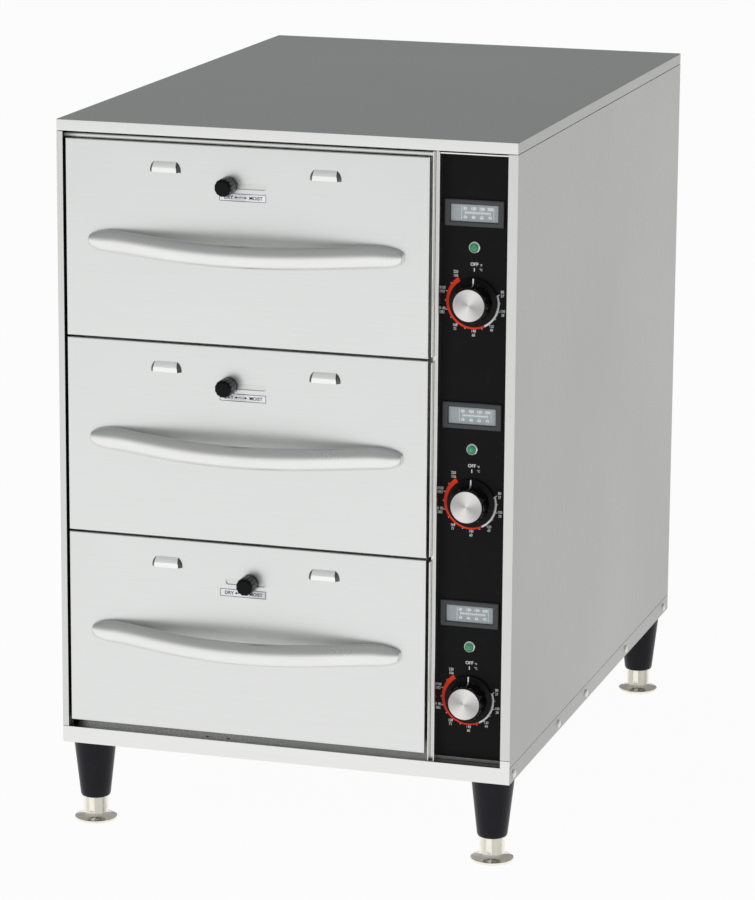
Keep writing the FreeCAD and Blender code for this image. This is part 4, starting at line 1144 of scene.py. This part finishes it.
@dataclass
class DialScale:
    """What is printed round one dial, in millimetres and degrees: band, ticks, figures and OFF mark."""

    number: int
    ink: float = 0.12
    first_mark: float = 71.0
    mark_step: float = 36.4
    band_inner: float = 24.3
    band_start: float = 26.3
    band_growth: float = 3.4
    band_curve: float = 1.2
    red_from: float = 155.0
    red_steps: int = 60
    white_steps: int = 36
    fahrenheit: Tuple[int, ...] = (80, 100, 120, 140, 160, 180, 200, 220)
    celsius: Tuple[int, ...] = (27, 38, 49, 60, 71, 82, 93, 104)
    figure_height: float = 2.9
    figure_width: float = 0.80
    figure_gap: float = 3.8
    figure_side_gap: float = 0.9
    figure_rise: float = 2.0
    tick_gap: float = 0.2
    tick_ends: Pair = (1.8, 1.2)
    tick_width: float = 0.6
    off_rise: float = 38.5
    off_height: float = 3.4
    off_bold: float = 0.01
    off_line: Pair = (3.8, 7.4)
    off_line_width: float = 0.8
    unit_side: float = 6.8
    unit_drops: Tuple[Tuple[str, float], ...] = (("F", 0.8), ("C", 5.2))
    unit_height: float = 2.3

    @property
    def last_mark(self) -> float:
        """Angle of the last figure."""
        return self.first_mark + self.mark_step * (len(self.fahrenheit) - 1)

    def _radius(self, angle: float) -> float:
        """Outer radius of the tapered band at an angle."""
        share = (angle - self.first_mark) / (self.last_mark - self.first_mark)
        return self.band_start + self.band_growth * max(0.0, share) ** self.band_curve

    def _band(self, shape: Shape, centre: Vector, start: float, end: float, steps: int) -> None:
        """Adds the tapered band between two angles in short arcs.

        Args:
            shape: what it is added to.
            centre: the dial's centre on the panel.
            start: the first angle.
            end: the last angle.
            steps: how many arcs there are.
        """
        rows = []
        lift = Vector(FORWARD) * (self.ink * MM)
        for i in range(steps + 1):
            degrees = start + (end - start) * i / steps
            inner = centre + clockwise(degrees) * (self.band_inner * MM)
            outer = centre + clockwise(degrees) * (self._radius(degrees) * MM)
            rows.append(shape.ring((inner, outer, outer + lift, inner + lift)))
        shape.loft(rows)

    def build(self, centre: Vector) -> None:
        """Prints the scale round a dial's centre on the panel.

        Args:
            centre: the dial's centre on the panel.
        """
        red = Shape()
        self._band(red, centre, self.red_from, self.last_mark, self.red_steps)
        red.piece(f"dial_heat_band_{self.number}", "cabinet", RED_INK)
        white = Shape()
        self._band(white, centre, self.first_mark, self.red_from, self.white_steps)
        for i in range(2 * len(self.fahrenheit) - 1):
            degrees = self.first_mark + self.mark_step * i / 2
            out = clockwise(degrees)
            reach = self._radius(degrees)
            white.strip(centre + out * ((reach + self.tick_gap) * MM),
                        centre + out * ((reach + self.tick_ends[i % 2]) * MM), self.tick_width, self.ink)
            if i % 2 == 0:
                spot = centre + out * ((reach + self.figure_gap + self.figure_side_gap * abs(out.x)) * MM)
                for figures, rise in ((self.fahrenheit, self.figure_rise), (self.celsius, -self.figure_rise)):
                    white.lettering(str(figures[i // 2]), on_face(spot, 0.0, rise), self.figure_height,
                                    self.ink, width=self.figure_width)
        top = on_face(centre, 0.0, self.off_rise)
        white.lettering("OFF", top, self.off_height, self.ink, self.off_bold)
        upper, lower = (on_face(top, 0.0, -drop) for drop in self.off_line)
        white.strip(upper, lower, self.off_line_width, self.ink)
        for unit, drop in self.unit_drops:
            white.lettering("°" + unit, on_face(top, self.unit_side, -drop), self.unit_height, self.ink)
        white.piece(f"dial_scale_{self.number}", "cabinet", WHITE_INK)


@dataclass
class Thermometer:
    """Scale plate behind one window, its marks and figures, and a black band round it as painted shadow, in
    millimetres.
    """

    number: int
    ink: float = 0.08
    edge_gap: float = 0.4
    plate_thickness: float = 0.18
    gasket_reach: float = 0.3
    gasket_width: float = 1.3
    gasket_depth: float = 0.12
    left: float = -13.5
    right: float = 19.5
    side_line: Pair = (7.0, 0.35)
    middle_line: Tuple[float, float, float] = (3.0, 0.2, 1.2)
    ticks: int = 25
    ticks_inset: float = 3.5
    tick_step: float = 1.08
    tick_ends: Pair = (2.6, 1.3)
    tick_width: float = 0.3
    tick_feet: Pair = (0.3, 0.1)
    figures: Tuple[Tuple[int, int], ...] = ((50, 10), (100, 40), (150, 65), (200, 95))
    figure_rises: Pair = (4.5, -4.3)
    figure_height: float = 3.0
    figure_bold: float = 0.06
    ticks_to_figure: int = 8

    def build(self) -> None:
        """Builds the plate, the painted shadow band and the marks."""
        low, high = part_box("thermometer_windows")
        first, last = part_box(f"knob_{DRAWERS[0]}")[0].z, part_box(f"knob_{DRAWERS[-1]}")[0].z
        pitch = (first - last) / (len(DRAWERS) - 1)
        height = (high.z - low.z) - (first - last)
        middle = Vector(((low.x + high.x) / 2, high.y + self.edge_gap * MM,
                         high.z - height / 2 - pitch * (self.number - 1)))
        half, tall = (high.x - low.x) / 2 / MM, height / 2 / MM
        plate = Shape()
        thickness = Vector(FORWARD) * (self.plate_thickness * MM)
        plate.slab(oblong(middle, half - self.edge_gap, tall - self.edge_gap), thickness)
        plate.piece(f"thermometer_plate_{self.number}", "cabinet", PLATE_GREY)
        # Painted shadow: a black band round the window stands in for the shadow in its recess.
        rim = Shape()
        front = Vector((middle.x, low.y, middle.z))
        rim.frame_lines(oblong(front, half + self.gasket_reach, tall + self.gasket_reach), self.gasket_width,
                        self.gasket_depth)
        rim.piece(f"thermometer_painted_shadow_{self.number}", "cabinet", PANEL_BLACK)
        marks = Shape()
        self._marks(marks, middle + thickness)
        marks.piece(f"thermometer_scale_{self.number}", "cabinet", WHITE_INK)

    def _marks(self, shape: Shape, ground: Vector) -> None:
        """Adds lines, ticks and figures over the middle of the plate.

        Args:
            shape: what it is added to.
            ground: the middle of the plate's face.
        """
        reach, width = self.side_line
        for x in (self.left, self.right):
            shape.strip(on_face(ground, x, -reach), on_face(ground, x, reach), width, self.ink)
        inset, rise, width = self.middle_line
        start, end = on_face(ground, self.left + inset, rise), on_face(ground, self.right - inset, rise)
        shape.strip(start, end, width, self.ink)
        upper, lower = self.tick_feet
        for i in range(self.ticks):
            x = self.left + self.ticks_inset + i * self.tick_step
            length = self.tick_ends[0] if i % self.ticks_to_figure == 0 else self.tick_ends[1]
            for foot, tip in ((upper, upper + length), (lower, lower - length)):
                shape.strip(on_face(ground, x, foot), on_face(ground, x, tip), self.tick_width, self.ink)
        for i, pair in enumerate(self.figures):
            x = self.left + self.ticks_inset + i * self.ticks_to_figure * self.tick_step
            for figure, rise in zip(pair, self.figure_rises):
                shape.lettering(str(figure), on_face(ground, x, rise), self.figure_height, self.ink,
                                self.figure_bold)


@dataclass
class Dial:
    """Thermostat knob, in millimetres: fluted glossy body, spun cap and pointer line."""

    number: int
    height: float = 20.0
    outline: Tuple[Pair, ...] = (
        (0.0, 0.0), (24.6, 0.0), (25.0, 0.4), (25.0, 2.6), (24.8, 3.0), (24.4, 3.2), (20.3, 3.3),
        (19.8, 3.8), (19.5, 4.6), (19.3, 8.0), (19.0, 12.0), (18.8, 15.5), (18.6, 17.8), (18.2, 19.2),
        (17.7, 19.9), (17.2, 20.0), (16.8, 20.0), (16.5, 19.7), (16.45, 19.0), (0.0, 18.9))
    cap_outline: Tuple[Pair, ...] = (
        (0.0, 18.7), (16.4, 18.7), (16.4, 19.9), (16.1, 20.25), (15.2, 20.3), (0.0, 20.3))
    pointer: Tuple[Tuple[float, float, float, float], ...] = (
        (19.5, 4.6, 1.0, 0.2), (19.8, 3.8, 0.6, 0.8), (20.3, 3.3, 0.1, 1.0), (24.5, 3.2, 0.1, 1.0))
    pointer_width: float = 1.3
    pointer_depth: float = 0.15
    flutes: int = 12
    flute_depth: float = 0.075
    flute_begin: Pair = (3.3, 3.0)
    flute_end: Pair = (20.2, 2.5)
    steps: int = 216
    cap_steps: int = 96

    def build(self) -> Vector:
        """Builds the knob over its solid.

        Returns:
            Its centre on the panel.
        """
        low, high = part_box(f"knob_{self.number}")
        x, z = (low.x + high.x) / 2, (low.z + high.z) / 2
        base = Vector((x, low.y + self.height * MM, z))
        body = f"dial_{self.number}"
        solid = Shape()
        turn = math.pi / self.flutes
        flutes = fluting(self.flutes, self.flute_depth, self.flute_begin, self.flute_end, turn)
        solid.turned(base, self.outline, self.steps, flutes)
        knob = solid.piece(f"dial_knob_{self.number}", body, KNOB_BLACK, "knob_plastic")
        shade(knob, GRIP_CREASE)
        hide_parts(f"knob_{self.number}")
        cap = Shape()
        cap.turned(base, self.cap_outline, self.cap_steps)
        # The cap's material carries a painted radial highlight.
        spun = SpunDisc(f"spun cap {self.number}", (x, z))
        disc = cap.piece(f"dial_cap_{self.number}", body, spun, "cap_metal")
        shade(disc)
        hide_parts(f"knob_cap_{self.number}")
        line = Shape()
        path = [(base + Vector((0.0, -height, radius)) * MM, Vector((0.0, -ahead, out)))
                for radius, height, out, ahead in self.pointer]
        line.ribbon(path, self.pointer_width, self.pointer_depth)
        line.piece(f"dial_pointer_{self.number}", body, WHITE_INK)
        return Vector((x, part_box("control_panel")[0].y, z))


# ---------------------------------------------------------------- drawers
@dataclass
class Drawer:
    """One drawer: front, vents, shutter knob, label, handle, pan and rails."""

    number: int
    sheet_bevel: float = 0.3
    shutter_bevel: float = 0.2
    front_angle: float = 55.0
    vent_depth: float = 4.2
    end_tilt: float = 0.35
    slope_tilt: float = 0.2

    def build(self) -> None:
        """Dresses and builds one drawer."""
        k = self.number
        self._vents(dress(f"drawer_front_{k}", DRAWER_STEEL, self.sheet_bevel, 2, self.front_angle))
        dress(f"drawer_frame_{k}", RAIL_STEEL, self.sheet_bevel)
        dress(f"drawer_rails_{k}", RAIL_STEEL, self.sheet_bevel)
        dress(f"food_pan_{k}", PAN_STEEL, self.sheet_bevel)
        dress(f"handle_screws_{k}", SCREW_METAL)
        dress(f"vent_shutter_{k}", SHUTTER_STEEL, self.shutter_bevel)
        self._handle()
        VentKnob(k).build()
        VentLabel(k).build()
        log.info("drawer %d ready", k)

    def _vents(self, front: bpy.types.Object) -> None:
        """Paints light and shade on the raised vents with copies of the steel: a painted highlight on their
        faces, painted light on their slopes and painted shade on their ends.

        Args:
            front: the drawer front, whose vents stand proud of its flat face.
        """
        mesh = front.data
        for steel in (VENT_PAINTED_HIGHLIGHT, VENT_END_PAINTED_SHADE, VENT_SLOPE_PAINTED_LIGHT):
            mesh.materials.append(steel.build())
        foremost = min(vertex.co.y for vertex in mesh.vertices)
        for polygon in mesh.polygons:
            if polygon.center.y < foremost + self.vent_depth * MM:
                at_end = abs(polygon.normal.x) > self.end_tilt
                polygon.material_index = 2 if at_end else 3 if polygon.normal.z > self.slope_tilt else 1

    def _handle(self) -> None:
        """Bowed grip of even height whose rounded ends lie flat on the drawer front."""
        k = self.number
        low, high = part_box(f"handle_{k}")
        grip = Handle(length=high.x - low.x, reach=high.y - low.y)
        axis = Vector(((low.x + high.x) / 2, high.y, low.z + grip.droop + grip.height / 2))
        piece = grip.build(f"drawer_handle_{k}", axis, f"drawer_{k}")
        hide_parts(f"handle_{k}")


@dataclass
class VentKnob:
    """Fluted knob that slides one shutter, in millimetres: a stem, a neck and a grip."""

    number: int
    stem: float = 2.5
    neck: float = 6.0
    neck_depth: float = 18.0
    grip: Tuple[Pair, ...] = (
        (0.6, 15.5), (0.0, 15.0), (0.0, 3.0), (0.4, 1.6), (1.3, 0.6), (2.6, 0.1), (4.0, 0.0))
    flutes: int = 12
    flute_depth: float = 0.10
    flute_begin: Pair = (14.8, 1.0)
    flute_end: Pair = (0.8, 2.0)
    steps: int = 144

    def build(self) -> None:
        """Builds the knob over its solid; the grip's points lie inward of its radius and behind its face."""
        low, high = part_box(f"vent_knob_{self.number}")
        centre = Vector(((low.x + high.x) / 2, high.y, (low.z + high.z) / 2))
        reach = (high.y - low.y) / MM
        radius = (high.z - low.z) / 2 / MM
        shoulder = reach - self.neck_depth
        outline = [(0.0, 0.0), (self.stem, 0.0), (self.stem, shoulder), (self.neck, shoulder),
                   (self.neck, reach - self.grip[0][1])]
        outline += [(radius - inward, reach - behind) for inward, behind in self.grip] + [(0.0, reach)]
        (begin, deepen), (end, fade) = self.flute_begin, self.flute_end
        flutes = fluting(self.flutes, self.flute_depth, (reach - begin, deepen), (reach - end, fade))
        solid = Shape()
        solid.turned(centre, outline, self.steps, flutes)
        body = f"vent_slide_{self.number}"
        knob = solid.piece(f"shutter_knob_{self.number}", body, VENT_KNOB_BLACK, "knob_plastic")
        shade(knob, GRIP_CREASE)
        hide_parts(f"vent_knob_{self.number}")


@dataclass
class VentLabel:
    """White label under one vent knob, in millimetres, with its border, words and arrow."""

    number: int
    across: float = 190.5
    drop: float = 51.5
    half: Pair = (25.5, 4.5)
    thickness: float = 0.2
    border: Pair = (24.6, 3.7)
    border_width: float = 0.55
    ink: float = 0.08
    words: Tuple[Tuple[str, float], ...] = (("DRY", -15.0), ("MOIST", 14.0))
    word_height: float = 3.6
    word_bold: float = 0.03
    arrow: Pair = (-7.5, 3.0)
    arrow_width: float = 0.6
    arrow_tips: Tuple[Pair, ...] = ((-9.0, -6.6), (4.5, 2.1))
    arrow_half: float = 1.3

    def build(self) -> None:
        """Lays the label on the drawer front and prints it."""
        low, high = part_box(f"drawer_front_{self.number}")
        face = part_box(f"handle_{self.number}")[1].y
        middle = Vector((low.x + self.across * MM, face, high.z - self.drop * MM))
        body = f"drawer_{self.number}"
        thickness = Vector(FORWARD) * (self.thickness * MM)
        plate = Shape()
        plate.slab(oblong(middle, *self.half), thickness)
        plate.piece(f"vent_label_{self.number}", body, LABEL_WHITE)
        ground = middle + thickness
        edge = Shape()
        edge.frame_lines(oblong(ground, *self.border), self.border_width, self.ink)
        edge.piece(f"vent_label_border_{self.number}", body, BLUE_INK)
        words = Shape()
        for word, x in self.words:
            words.lettering(word, on_face(ground, x, 0.0), self.word_height, self.ink, self.word_bold)
        start, end = (on_face(ground, x, 0.0) for x in self.arrow)
        words.strip(start, end, self.arrow_width, self.ink)
        for tip, tail in self.arrow_tips:
            corners = [on_face(ground, x, z) for x, z in (
                (tip, 0.0), (tail, self.arrow_half), (tail, -self.arrow_half))]
            words.slab(corners, Vector(FORWARD) * (self.ink * MM))
        words.face_outward()
        words.piece(f"vent_label_words_{self.number}", body, DARK_INK)


@dataclass
class Handle:
    """Die-cast grip of even height, with rounded ends that lie on the drawer front, in metres."""

    length: float
    reach: float
    height: float = 0.0235
    end_height: float = 0.006
    thickness: float = 0.014
    end_thickness: float = 0.004
    end_length: float = 0.032
    droop: float = 0.0035
    foot: float = 0.026
    spans: int = 120
    around: int = 32

    def _row(self, x: float) -> List[Point]:
        """The section's outline at a distance from the grip's middle.

        Args:
            x: the distance along the grip.

        Returns:
            Points round the section, with the drawer front at y = 0 and the ends' axis at z = 0.
        """
        half = self.length / 2
        inset = min(1.0, (half - abs(x)) / self.end_length)
        fullness = math.sqrt(max(0.0, 1.0 - (1.0 - inset) ** 2))
        height = self.end_height + (self.height - self.end_height) * fullness
        thick = self.end_thickness + (self.thickness - self.end_thickness) * fullness
        bow = max(0.0, 1.0 - (x / (half - self.foot)) ** 2) ** 1.3
        rear = (self.reach - self.thickness) * bow
        row = []
        for j in range(self.around):
            angle = 2 * math.pi * j / self.around
            out = math.cos(angle)
            deep = thick * 0.35 + out * thick * (0.65 if out > 0 else 0.35)
            row.append((x, -(rear + max(0.0002, deep)), height / 2 * math.sin(angle) - self.droop * bow))
        return row

    def build(self, name: str, axis: Vector, body: str) -> bpy.types.Object:
        """Builds the grip.

        Args:
            name: the piece's name.
            axis: the middle of the line between the grip's ends, on the drawer front.
            body: the body it rides on.

        Returns:
            The piece.
        """
        shape = Shape()
        mesh = shape.mesh
        rows = []
        for i in range(self.spans + 1):
            x = self.length / 2 * math.sin(math.pi * (i / self.spans - 0.5))
            rows.append(shape.ring([axis + Vector(point) for point in self._row(x)]))
        for first, second in zip(rows, rows[1:]):
            shape.bridge(first, second)
        bmesh.ops.remove_doubles(mesh, verts=mesh.verts[:], dist=0.00002)
        bmesh.ops.holes_fill(mesh, edges=[edge for edge in mesh.edges if len(edge.link_faces) == 1], sides=0)
        shape.face_outward()
        piece = shape.piece(name, body, HANDLE_METAL, "handle_metal")
        shade(piece, GRIP_CREASE)
        return piece


# ---------------------------------------------------------------- legs
@dataclass
class Legs:
    """Black leg bodies and their plated adjustable feet."""

    nut_bevel: float = 0.4
    foot_bevel: float = 0.3
    foot_angle: float = 50.0
    foot_crease: float = 32.0
    body_crease: float = 40.0

    def build(self) -> None:
        """Dresses the legs, their nuts and the feet."""
        dress("leg_bodies", LEG_BLACK, crease=self.body_crease)
        dress("leg_nuts", SCREW_METAL, self.nut_bevel)
        for corner in FEET:
            dress(f"foot_{corner}", FOOT_METAL, self.foot_bevel, 2, self.foot_angle, self.foot_crease)


def main() -> None:
    """Builds the warmer's dress in order."""
    logging.basicConfig(level=logging.INFO, format="%(name)s: %(message)s")
    Studio().build()
    Cabinet().build()
    ControlStrip().build()
    for k in DRAWERS:
        Drawer(k).build()
    Legs().build()


if __name__ == "__main__":
    main()
